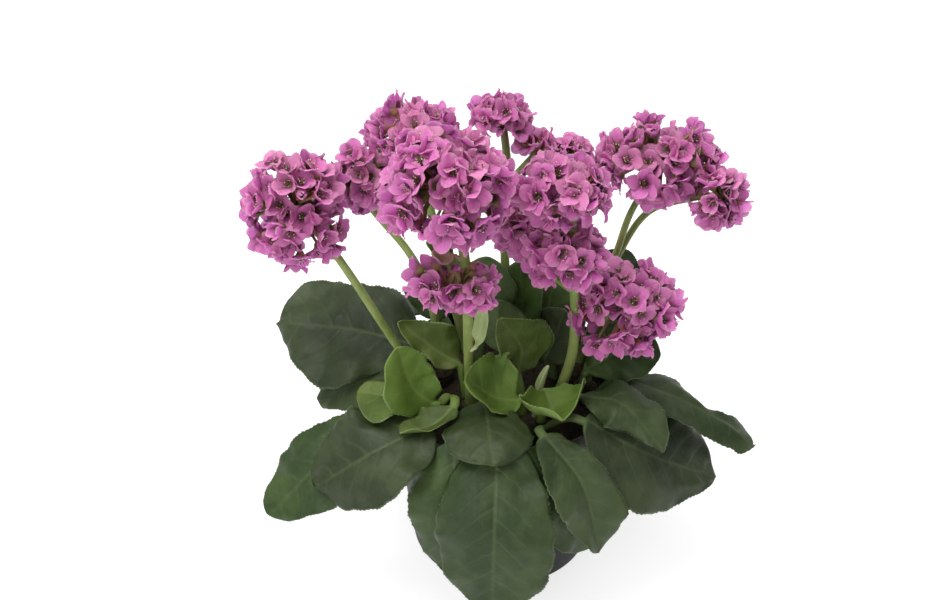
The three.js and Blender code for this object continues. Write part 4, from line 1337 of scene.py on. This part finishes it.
def seed_grain(place, radius, length):
    """A small closed grain with eight faces, longer upwards."""
    x, y, z = place
    points = [(x + radius, y, z), (x, y + radius, z), (x - radius, y, z), (x, y - radius, z)]
    points += [(x, y, z + length), (x, y, z - length)]
    faces = [(0, 1, 4), (1, 2, 4), (2, 3, 4), (3, 0, 4), (1, 0, 5), (2, 1, 5), (3, 2, 5), (0, 3, 5)]
    return points, faces


def flower_centre(name, form, random):
    """The stamens and the pistil of one flower, as one mesh of small closed pieces."""
    spread = STAMENS["closed_reach"] if form["half"] < STAMENS["closed_under"] else STAMENS["reach"]
    points, faces, organs = [], [], []

    def put(piece, organ):
        first = len(points)
        points.extend(piece[0])
        faces.extend(tuple(first + k for k in face) for face in piece[1])
        organs.extend([ORGANS[organ]] * len(piece[0]))

    for k in range(STAMENS["count"]):
        angle = 2 * math.pi * (k + random.uniform(-0.2, 0.2)) / STAMENS["count"]
        reach = spread * random.uniform(0.75, 1.15)
        height = STAMENS["top"] + random.uniform(-1.1, 0.9)
        near = STAMENS["foot_reach"]
        foot = (near * math.cos(angle), near * math.sin(angle), STAMENS["foot"])
        top = (reach * math.cos(angle), reach * math.sin(angle), height)
        put(rod(foot, top, STAMENS["thickness"], STAMENS["thickness"] * STAMENS["taper"], 3), "filament")
        put(seed_grain(top, *STAMENS["anther"]), "anther")
    for piece in OVARY:
        put(rod(*piece), "ovary")
    return mesh_object(name, points, faces, attributes={"organ": organs})


def ring(radius, height, turns):
    """Points round the axis at the given turns."""
    heights = np.broadcast_to(height, turns.shape)
    return np.stack([radius * np.cos(turns), radius * np.sin(turns), heights], axis=1)


def flower_calyx(name):
    """The cup of five pointed sepals under the petals, as a closed shell."""
    turns = np.linspace(0, 2 * math.pi, CALYX["sides"], endpoint=False)
    lobe = (0.5 + 0.5 * np.cos(CALYX["sepals"] * turns)) ** CALYX["sepal_power"]
    rings = [ring(radius, height, turns) for radius, height in CALYX["rings"]]
    begin, flare = CALYX["flare"]
    for share in CALYX["rows"]:
        end = CALYX["sinus"] + (CALYX["tip"] - CALYX["sinus"]) * lobe
        height = CALYX["foot"] + share * (end - CALYX["foot"])
        radius = CALYX["radius"] + share * (begin + flare * lobe)
        rings.append(ring(radius, height, turns))
    rings.append(rings[-1] * [0.9, 0.9, 1] + [0, 0, 0.05])
    rings.append(rings[2] * [0.7, 0.7, 1] + [0, 0, 0.4])
    points = np.vstack([[[0, 0, CALYX["rings"][0][1]]], np.concatenate(rings), [[0, 0, CALYX["foot"]]]])
    return mesh_object(name, points, [face[::-1] for face in loft_faces(len(rings), CALYX["sides"])])


def gather(name, objects):
    """A collection of drawn forms that isn't in the scene."""
    folder = bpy.data.collections.new(name)
    for made in objects:
        bpy.context.scene.collection.objects.unlink(made)
        folder.objects.link(made)
    return folder


def discard(folder):
    for made in list(folder.objects):
        bpy.data.objects.remove(made)
    bpy.data.collections.remove(folder)


def unit(vector):
    return np.array(vector, float) / np.linalg.norm(vector)


def flower_places(head, seed):
    """Where each flower of a head sits and looks: round the ball by the golden angle, a little uneven."""
    random = np.random.default_rng(seed)
    to_axis = Vector((0, 0, 1)).rotation_difference(Vector(unit(head["looks"])))
    lowest = math.cos(math.radians(head["cover"]))
    chances = [FORMS[kind]["share"] / FORMS[kind]["drawn"] for kind in DRAWN]
    inner_each = UNEVEN["inner_each"]
    places = []
    for k in range(head["flowers"]):
        height = 1 - (k + 0.5) / head["flowers"] * (1 - lowest)
        turn = k * GOLDEN_ANGLE + UNEVEN["turn"] * random.uniform(-0.5, 0.5)
        flat = math.sqrt(1 - height**2)
        way = np.array(to_axis @ Vector((flat * math.cos(turn), flat * math.sin(turn), height)))
        depth = UNEVEN["inner"]
        if k % inner_each != inner_each - 1:
            depth = 1 + UNEVEN["reach"] * random.uniform(-0.6, 0.4)
        at = way * head["reach"] * depth + head["centre"]
        looks = unit(way + random.normal(0, UNEVEN["nod"], 3))
        size = head["radius"] / FLOWER_RADIUS * (1 + UNEVEN["size"] * random.uniform(-0.5, 0.5))
        form = random.choice(len(DRAWN), p=chances)
        # Tone that is partly chance and partly painted light: it is higher on flowers that face up
        tint = UNEVEN["tint"] * random.random() + (1 - UNEVEN["tint"]) * smoothstep(looks[2], -0.2, 1)
        spin = random.uniform(0, 6.28)
        places.append({"at": at, "way": looks, "size": size, "spin": spin, "form": form, "tint": tint})
    return places


def points_object(name, places):
    """An object of loose points that carry what the flower tree reads."""
    mesh = bpy.data.meshes.new(name)
    mesh.from_pydata([tuple(place["at"] * MM) for place in places], [], [])
    ways = np.array([place["way"] for place in places])
    mesh.attributes.new("way", "FLOAT_VECTOR", "POINT").data.foreach_set("vector", ways.ravel())
    set_values(mesh, {key: [place[key] for place in places] for key in ("size", "spin", "tint")})
    forms = [int(place["form"]) for place in places]
    mesh.attributes.new("form", "INT", "POINT").data.foreach_set("value", forms)
    return in_scene(name, mesh)


def flower_stems(head, places, seed):
    """The ways of a head's stems: from its root to the joints of its groups, and on to each calyx."""
    random = np.random.default_rng(seed)
    shares = np.linspace(0, 1, FLOWER_STEM["steps"])
    centre = np.array(head["centre"], float)
    groups = max(FLOWER_STEM["fewest_joints"], head["flowers"] // FLOWER_STEM["flowers_to_a_joint"])
    reach = FLOWER_STEM["joint_reach"]
    joints = [centre + (places[k]["at"] - centre) * random.uniform(*reach) for k in range(groups)]
    root = centre - unit(head["looks"]) * FLOWER_STEM["root_depth"] * np.array(head["reach"])
    branch, stem = (np.linspace(*FLOWER_STEM[key], FLOWER_STEM["steps"]) for key in ("branch", "stem"))
    chains = []
    for joint in joints:
        bow = (root + joint) / 2 + random.normal(0, FLOWER_STEM["branch_bow"], 3)
        chains.append((spline([root, bow, joint], shares)[0], branch))
    for place in places:
        calyx = place["at"] - place["way"] * FLOWER_STEM["calyx_depth"] * place["size"]
        joint = min(joints, key=lambda j: np.linalg.norm(j - calyx))
        bow = calyx - place["way"] * FLOWER_STEM["bow"] * np.linalg.norm(joint - calyx)
        end = calyx + place["way"] * FLOWER_STEM["into_calyx"]
        chains.append((spline([joint, (joint + bow) / 2, end], shares)[0], stem))
    return chains


def petal_finish():
    """Thin silky petals: deep in the throat, mauve-pink further out, paler at the edge, with fine veins.

    Painted light: flowers that face up are painted paler pink, and those that face down deeper mauve.
    """
    finish = Finish(
        "petal",
        Roughness=0.65,
        Specular_IOR_Level=0.15,
        Subsurface_Weight=0.5,
        Subsurface_Scale=0.005,
        Subsurface_Radius=(1.0, 0.4, 0.9),
    )
    uv = finish.add("ShaderNodeUVMap", {"uv_map": "UVMap"})
    parts = finish.add("ShaderNodeSeparateXYZ", inputs={0: uv})
    side, up = abs(parts - 0.5) * 2, parts.also("Y")
    tint = finish.attribute("tint")
    colour = finish.ramp(up, *PETAL_COLOURS)
    edge = finish.step(side, 0.6, 1.0) * finish.step(up, 0.4, 0.8)
    colour = finish.mix(edge * 0.45, colour, (0.57, 0.22, 0.33))
    fan = (parts - 0.5) / (0.35 + up) * 34 + finish.noise(uv, 5, 2) * 3
    veins = (fan.math("SINE", fan) * 0.5 + 0.5) ** 4 * finish.step(up, 0.15, 0.5)
    colour = finish.mix(veins * 0.2, colour, (0.33, 0.07, 0.22))
    # Painted light, mixed with chance tone: paler pink on flowers that face up
    colour = finish.mix(finish.step(tint, 0.45, 0.95) * 0.55, colour, (0.57, 0.21, 0.32))
    # Painted shade, mixed with chance tone: deeper mauve on flowers that face down
    colour = finish.mix(finish.step(tint, 0.4, 0.0) * 0.35, colour, (0.36, 0.085, 0.29))
    mottled = finish.noise(finish.place(), 180, 3)
    colour = finish.mix(mottled * 0.2, colour, (0.5, 0.16, 0.34))
    relief = mottled * 0.5 - veins * 0.5
    return finish.feed(Base_Color=colour, Normal=finish.bump(relief, 0.0003, 0.5))


def centre_finish():
    """Dark filaments, brown and pale yellow anthers, and a green-brown ovary."""
    finish = Finish("stamen", Roughness=0.6, Specular_IOR_Level=0.3)
    organ = finish.attribute("organ")
    speck = finish.step(finish.noise(finish.place(), 900, 1), 0.48, 0.56)
    anther = finish.mix(speck, (0.05, 0.028, 0.018), (0.75, 0.66, 0.42))
    colour = finish.mix(finish.step(organ, 0.1, 0.4), (0.16, 0.04, 0.07), anther)
    colour = finish.mix(finish.step(organ, 0.6, 0.9), colour, (0.12, 0.13, 0.05))
    return finish.feed(Base_Color=colour)


def calyx_finish():
    """Red-brown sepals and flower stems that turn olive in places."""
    finish = Finish(
        "calyx", Roughness=0.5, Specular_IOR_Level=0.35, Subsurface_Weight=0.05, Subsurface_Scale=0.002
    )
    patch = finish.noise(finish.place(), 70, 3)
    fine = finish.noise(finish.place(), 700, 2)
    colour = finish.mix(finish.step(patch, 0.38, 0.62), (0.23, 0.075, 0.05), (0.14, 0.15, 0.045))
    colour = finish.mix(fine * 0.3, colour, (0.32, 0.17, 0.11))
    return finish.feed(Base_Color=colour, Normal=finish.bump(fine, 0.0002, 0.5))


def make_heads(stems):
    """Each head as petals, stamens, calyces and flower stems. The petals stand for the head's node."""
    random = np.random.default_rng(FORM_SEED)
    flowers = flower_tree()
    drawn = [(f"{k:02d}_{kind}", FORMS[kind]) for k, kind in enumerate(DRAWN)]
    petals = [corolla("petals_" + name, form, random) for name, form in drawn]
    centres = [flower_centre("centre_" + name, form, random) for name, form in drawn]
    calyces = [flower_calyx("calyx_" + name) for name, _ in drawn]
    calyx = calyx_finish()
    parts = {
        "petals": (gather("petal forms", petals), petal_finish(), "petals"),
        "stamens": (gather("centre forms", centres), centre_finish(), "petals"),
        "calyces": (gather("calyx forms", calyces), calyx, "stalk"),
    }
    for seed, (name, head) in enumerate(HEADS.items()):
        places = flower_places(head, HEAD_SEED + seed)
        for part, (forms, material, slot) in parts.items():
            points = points_object(part, places)
            piece = grown(f"{part}_{name}", points, flowers, Forms=forms, Material=material)
            nodes = ["flowers_" + name] if part == "petals" else []
            place_piece(piece, material, slot, *nodes)
        chains = chains_object("stem chains", flower_stems(head, places, seed))
        sides = FLOWER_STEM["sides"]
        piece = grown(f"flower_stems_{name}", chains, stems, Sides=sides, Material=calyx)
        place_piece(piece, calyx, "stalk")
    for forms, _, _ in parts.values():
        discard(forms)


# Flower stalks


def stalk_finish():
    """Fleshy yellow-green stalk with fine stripes, redder towards the head."""
    finish = Finish("stalk", Specular_IOR_Level=0.4, Subsurface_Weight=0.1, Subsurface_Scale=0.003)
    where = finish.place()
    stretched = finish.add("ShaderNodeMapping", inputs={"Vector": where, "Scale": (1.0, 1.0, 0.06)})
    stripes = finish.noise(stretched, 900, 2)
    patch = finish.noise(where, 45, 3)
    along = finish.attribute("along")
    colour = finish.mix(finish.step(patch, 0.35, 0.65), (0.15, 0.215, 0.045), (0.24, 0.29, 0.085))
    colour = finish.mix(finish.step(stripes, 0.45, 0.7) * 0.35, colour, (0.3, 0.35, 0.14))
    colour = finish.mix(finish.step(along + patch * 0.3, 0.85, 1.15) * 0.7, colour, (0.17, 0.09, 0.04))
    rough = 0.38 + patch * 0.2
    return finish.feed(Base_Color=colour, Roughness=rough, Normal=finish.bump(stripes, 0.0003, 0.4))


def make_stalks(stems):
    material = stalk_finish()
    shares = np.linspace(0, 1, STALK["steps"])
    branch_shares = np.linspace(0, 1, STALK["steps"] // 2)
    branch_radii = np.linspace(STALK["branch"], STALK["branch_tip"], len(branch_shares))
    swelling = STALK["swelling"] * np.exp(-((shares / STALK["swelling_length"]) ** 2))
    for name, (shoot, stout, way, branches) in STALKS.items():
        start = (*SHOOTS[shoot], SHOOT_TOP - STALK["foot_depth"])
        radii = stout * (STALK["foot"] + (STALK["top"] - STALK["foot"]) * shares + swelling)
        chains = [(spline([start, *way], shares)[0], radii)]
        chains += [(spline(branch, branch_shares)[0], branch_radii) for branch in branches]
        source = chains_object("stalk chains", chains)
        sides = STALK["sides"]
        piece = grown("fine_stalk_" + name, source, stems, Sides=sides, Material=material)
        place_piece(piece, material, "stalk", "stalk_" + name)


# Pot, soil and rhizome


def wall_radius(height):
    share = min(height / (POT["height"] - POT["rim_height"]), 1)
    return POT["base"] + (POT["shoulder"] - POT["base"]) * share


def lathe(name, profile, sides):
    """A closed solid turned about +Z from a profile that starts and ends on the axis."""
    turns = np.linspace(0, 2 * math.pi, sides, endpoint=False)
    rings = [ring(radius, height, turns) for radius, height in profile[1:-1]]
    ends = [np.array([[0, 0, profile[k][1]]]) for k in (0, -1)]
    points = np.vstack([ends[0], *rings, ends[1]])
    return mesh_object(name, points, [face[::-1] for face in loft_faces(len(rings), sides)])


def arc(centre, radius, start, end, steps):
    turns = np.radians(np.linspace(start, end, steps + 1))
    return [(centre[0] + radius * math.cos(a), centre[1] + radius * math.sin(a)) for a in turns]


def cut(target, cutters):
    """Cuts the cutters out of the target and removes them."""
    for cutter in cutters:
        modifier = target.modifiers.new("cut", "BOOLEAN")
        modifier.operation = "DIFFERENCE"
        modifier.solver = "EXACT"
        modifier.object = cutter
    bpy.context.view_layer.update()
    evaluated = target.evaluated_get(bpy.context.evaluated_depsgraph_get())
    mesh = bpy.data.meshes.new_from_object(evaluated)
    target.modifiers.clear()
    target.data = mesh
    for cutter in cutters:
        bpy.data.objects.remove(cutter)


def pot_profile():
    """The pot's section, from the middle of its underside round the rim to the middle of its floor.

    Its rounded edges and small steps are given as they come, in millimetres and degrees.
    """
    height, rim, wall, floor, bevel = (POT[key] for key in ("height", "rim", "wall", "floor", "bevel"))
    shoulder = height - POT["rim_height"]
    lip = wall / 2
    profile = [(0, 0), (POT["hole_reach"], 0), (wall_radius(0) - bevel, 0)]
    profile += arc((wall_radius(0) - bevel, bevel), bevel, -75, 0, 4)
    profile += [(wall_radius(z), z) for z in np.linspace(8, shoulder - 1.5, 10)]
    profile += [(wall_radius(shoulder), shoulder), (rim - 0.9, shoulder)]
    profile += arc((rim - 0.5, shoulder + 0.5), 0.5, -90, 0, 3)
    profile += [(rim - 0.15, shoulder + POT["rim_height"] / 2)]
    profile += arc((rim - 0.2 - lip, height - lip), lip, 0, 180, 8)
    profile += [(rim - wall - 0.6, shoulder + 1.5), (wall_radius(shoulder) - wall, shoulder - wall)]
    profile += [(wall_radius(z) - wall, z) for z in np.linspace(shoulder - 8, 8, 8)]
    return profile + [(wall_radius(floor) - wall - bevel, floor), (0, floor)]


def hole_cutter():
    """A round drain hole through the pot's floor."""
    shape = bmesh.new()
    size = POT["hole_radius"] * MM
    depth = POT["cutter_depth"] * MM
    bmesh.ops.create_cone(shape, cap_ends=True, segments=32, radius1=size, radius2=size, depth=depth)
    bmesh.ops.translate(shape, verts=shape.verts, vec=(POT["hole_reach"] * MM, 0, 0))
    return shape


def channel_cutter():
    """A channel in the underside, from a drain hole outwards."""
    shape = bmesh.new()
    bmesh.ops.create_cube(shape, size=1)
    scale = Vector((POT["channel_reach"], POT["channel_width"], 2 * POT["channel_depth"])) * MM
    bmesh.ops.scale(shape, verts=shape.verts, vec=scale)
    reach = (POT["hole_reach"] + POT["channel_reach"] / 2) * MM
    bmesh.ops.translate(shape, verts=shape.verts, vec=(reach, 0, 0))
    return shape


def make_pot():
    """The turned pot with its drain holes and channels."""
    pot = lathe("fine_pot", pot_profile(), POT["sides"])
    cutters = []
    for k in range(POT["holes"]):
        turn = Matrix.Rotation(2 * math.pi * (k + 0.5) / POT["holes"], 4, "Z")
        for shape in (hole_cutter(), channel_cutter()):
            shape.transform(turn)
            mesh = bpy.data.meshes.new("cutter")
            shape.to_mesh(mesh)
            shape.free()
            cutters.append(in_scene("cutter", mesh))
    cut(pot, cutters)
    pot.data.shade_smooth()
    pot.data.set_sharp_from_angle(angle=math.radians(POT["sharp_angle"]))
    place_piece(pot, pot_finish(), "pot_plastic", "pot")


def pot_finish():
    """Near-black moulded plastic with fine grain, faint scuffs and dried soil near the rim."""
    finish = Finish("pot_plastic", Specular_IOR_Level=0.2)
    where = finish.place()
    grain = finish.noise(where, 1500, 2)
    scuffs = finish.step(finish.noise(where, 60, 5, 0.7), 0.55, 0.75)
    height = finish.add("ShaderNodeSeparateXYZ", inputs={0: where}, output="Z")
    dust = finish.step(finish.noise(where, 120, 4), 0.5, 0.7) * finish.step(height, 0.085, 0.108)
    colour = finish.mix(scuffs * 0.4, (0.010, 0.010, 0.011), (0.022, 0.022, 0.023))
    colour = finish.mix(dust * 0.35, colour, (0.08, 0.06, 0.045))
    rough = 0.5 + scuffs * 0.15 + dust * 0.2
    return finish.feed(Base_Color=colour, Roughness=rough, Normal=finish.bump(grain, 0.0002, 0.25))


def soil_finish():
    """Moist peat: dark brown, with paler fibres and bits of bark."""
    finish = Finish("potting_soil", Specular_IOR_Level=0.25)
    where = finish.place()
    broad = finish.noise(where, 90, 4)
    fine = finish.noise(where, 900, 4, 0.7)
    colour = finish.mix(finish.step(broad, 0.35, 0.65), (0.010, 0.008, 0.005), (0.03, 0.021, 0.012))
    colour = finish.mix(finish.step(fine, 0.6, 0.75) * 0.5, colour, (0.09, 0.062, 0.036))
    rough = 0.85 + fine * 0.15
    return finish.feed(Base_Color=colour, Roughness=rough, Normal=finish.bump(fine + broad, 0.001, 0.9))


def soil_height(x, y):
    """The height of the soil at a place: a low crown with lumps."""
    reach = np.hypot(x, y) / (wall_radius(SOIL["edge"]) - POT["wall"])
    crown = SOIL["edge"] + (SOIL["crown"] - SOIL["edge"]) * (1 - smoothstep(reach, 0.3, 1.0))
    lumps = np.sin(x / 3.1 + 1.7 * np.sin(y / 4.3)) * np.sin(y / 2.7 + 1.3 * np.sin(x / 3.9))
    return crown + 0.5 * lumps + 0.3 * np.sin(x / 1.3) * np.sin(y / 1.1)


def inner_radius(height):
    """How far the soil reaches at a height: nearly to the pot's wall."""
    return wall_radius(height) - POT["wall"] - SOIL["gap"]


def lay_on_soil(piece, sunk=0.0):
    """Sets the piece's top points to the soil's height, less the depth by which it is sunk."""
    for vertex in piece.data.vertices:
        x, y, z = vertex.co / MM
        if z > SOIL["sides_end"]:
            vertex.co.z = (soil_height(x, y) - sunk) * MM


def make_soil():
    """The soil's body, and the crumbs on it, which are scattered over a surface just under its top."""
    floor = POT["floor"] + SOIL["gap"]
    reaches = np.linspace(1, 0, SOIL["rings"], endpoint=False) * inner_radius(SOIL["edge"])
    profile = [(0, floor), (inner_radius(floor) - POT["bevel"], floor)]
    profile += [(inner_radius(height), height) for height in (20, 60, 85)]
    profile += [(reach, SOIL["crown"]) for reach in reaches] + [(0, SOIL["crown"])]
    soil = lathe("fine_soil", profile, SOIL["sides"])
    lay_on_soil(soil)
    material = soil_finish()
    place_piece(soil, material, "potting_soil", "soil")

    low = soil_height(0, 0) - SOIL["sunk"] - 20
    surface = lathe("soil surface", [(0, low), *[(reach, 92) for reach in reaches[3:]], (0, 92)], 60)
    lay_on_soil(surface, SOIL["sunk"])
    forms = [make_crumb(f"crumb_{k}", SOIL["crumb_seed"] + k) for k in range(SOIL["crumb_forms"])]
    crumbs = gather("crumb forms", forms)
    density = SOIL["crumbs_per_square_metre"]
    scattered = grown(
        "soil_crumbs", surface, crumb_tree(), Crumbs=crumbs, Density=density, Seed=3, Material=material
    )
    place_piece(scattered, material, "potting_soil")
    discard(crumbs)


def make_crumb(name, seed):
    """A rough crumb of bark or peat with twenty faces."""
    random = np.random.default_rng(seed)
    shape = bmesh.new()
    bmesh.ops.create_icosphere(shape, subdivisions=1, radius=SOIL["crumb"] / 2)
    stretch = random.uniform(0.45, 1.3, 3)
    for vertex in shape.verts:
        vertex.co = Vector(np.array(vertex.co) * stretch * random.uniform(0.7, 1.2))
    points = [list(vertex.co) for vertex in shape.verts]
    faces = [[vertex.index for vertex in face.verts] for face in shape.faces]
    shape.free()
    made = mesh_object(name, points, faces)
    made.data.shade_flat()
    return made


def rhizome_finish():
    """Brown ringed bark."""
    finish = Finish("rhizome_bark", Specular_IOR_Level=0.3)
    where = finish.place()
    height = finish.add("ShaderNodeSeparateXYZ", inputs={0: where}, output="Z")
    rough_bark = finish.noise(where, 260, 5, 0.7)
    rings = finish.add("ShaderNodeMath", {"operation": "SINE"}, {0: height * 1960 + rough_bark * 5})
    colour = finish.mix(finish.step(rough_bark, 0.35, 0.65), (0.018, 0.013, 0.008), (0.055, 0.038, 0.02))
    colour = finish.mix(finish.step(rings, 0.2, 0.9) * 0.3, colour, (0.09, 0.065, 0.035))
    relief = rough_bark + rings * 0.3
    rough = 0.7 + rough_bark * 0.25
    return finish.feed(Base_Color=colour, Roughness=rough, Normal=finish.bump(relief, 0.0008, 0.8))


def make_rhizome(stems):
    """The creeping stem from shoot to shoot, and each shoot, with a blunt top."""
    material = rhizome_finish()
    shares = np.linspace(0, 1, RHIZOME["stem_steps"])
    ringed = RHIZOME["stem"] + RHIZOME["ring_depth"] * np.sin(shares * RHIZOME["stem_rings"])
    chains = [(spline([(x, y, RHIZOME["stem_height"]) for x, y in SHOOTS.values()], shares)[0], ringed)]
    heights = np.linspace(RHIZOME["shoot_foot"], SHOOT_TOP, RHIZOME["shoot_steps"])
    near_top = smoothstep(heights, SHOOT_TOP - RHIZOME["taper_height"], SHOOT_TOP)
    rings = RHIZOME["ring_depth"] * np.sin(2 * math.pi * heights / RHIZOME["ring_pitch"])
    radii = (RHIZOME["shoot"] + rings) * (1 - RHIZOME["taper"] * near_top ** RHIZOME["taper_power"])
    for x, y in SHOOTS.values():
        way = np.stack([np.full(len(heights), x), np.full(len(heights), y), heights], axis=1)
        chains.append((way, radii))
    source = chains_object("rhizome chains", chains)
    piece = grown("fine_rhizome", source, stems, Sides=RHIZOME["sides"], Material=material)
    place_piece(piece, material, "rhizome_bark", "rhizome")


# Camera, floor and light


def make_camera():
    camera = in_scene("camera", bpy.data.cameras.new("camera"))
    elevation = math.radians(CAMERA["elevation"])
    back = Vector((0, -math.cos(elevation), math.sin(elevation))) * CAMERA["distance"]
    camera.location = (Vector(CAMERA["aim"]) + back) * MM
    camera.rotation_euler = (math.pi / 2 - elevation, 0, 0)
    camera.data.lens = CAMERA["lens"]
    camera.data.sensor_width = CAMERA["sensor"]
    bpy.context.scene.camera = camera


def make_light(name, location, size, power):
    """A soft square light that faces the plant."""
    lamp = bpy.data.lights.new(name, "AREA")
    lamp.size = size
    lamp.energy = power
    light = in_scene(name, lamp)
    light.location = location
    light.rotation_euler = (Vector(LIGHT_AIM) - Vector(location)).to_track_quat("-Z", "Y").to_euler()


def make_stage():
    """A pale floor, an even sky and soft lights."""
    glow = FLOOR["glow"]
    finish = Finish("floor", Roughness=0.9, Specular_IOR_Level=0.1, Emission_Strength=glow)
    finish.shader.inputs["Base Color"].default_value = FLOOR["colour"]
    finish.shader.inputs["Emission Color"].default_value = WHITE
    far = FLOOR["reach"]
    corners = [(-far, -far, 0), (far, -far, 0), (far, far, 0), (-far, far, 0)]
    floor = mesh_object("floor", corners, [(0, 1, 2, 3)])
    floor.data.materials.append(finish.material)
    world = bpy.data.worlds.new("studio")
    world.use_nodes = True
    sky = world.node_tree.nodes["Background"].inputs
    sky["Color"].default_value = WHITE
    sky["Strength"].default_value = WORLD_STRENGTH
    bpy.context.scene.world = world
    for name, (location, size, power) in LIGHTS.items():
        make_light(name, location, size, power)
    bpy.context.scene.view_settings.view_transform = "Standard"


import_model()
make_camera()
make_stage()
stem_nodes = stem_tree()
make_pot()
make_soil()
make_rhizome(stem_nodes)
make_stalks(stem_nodes)
make_leaves()
make_heads(stem_nodes)
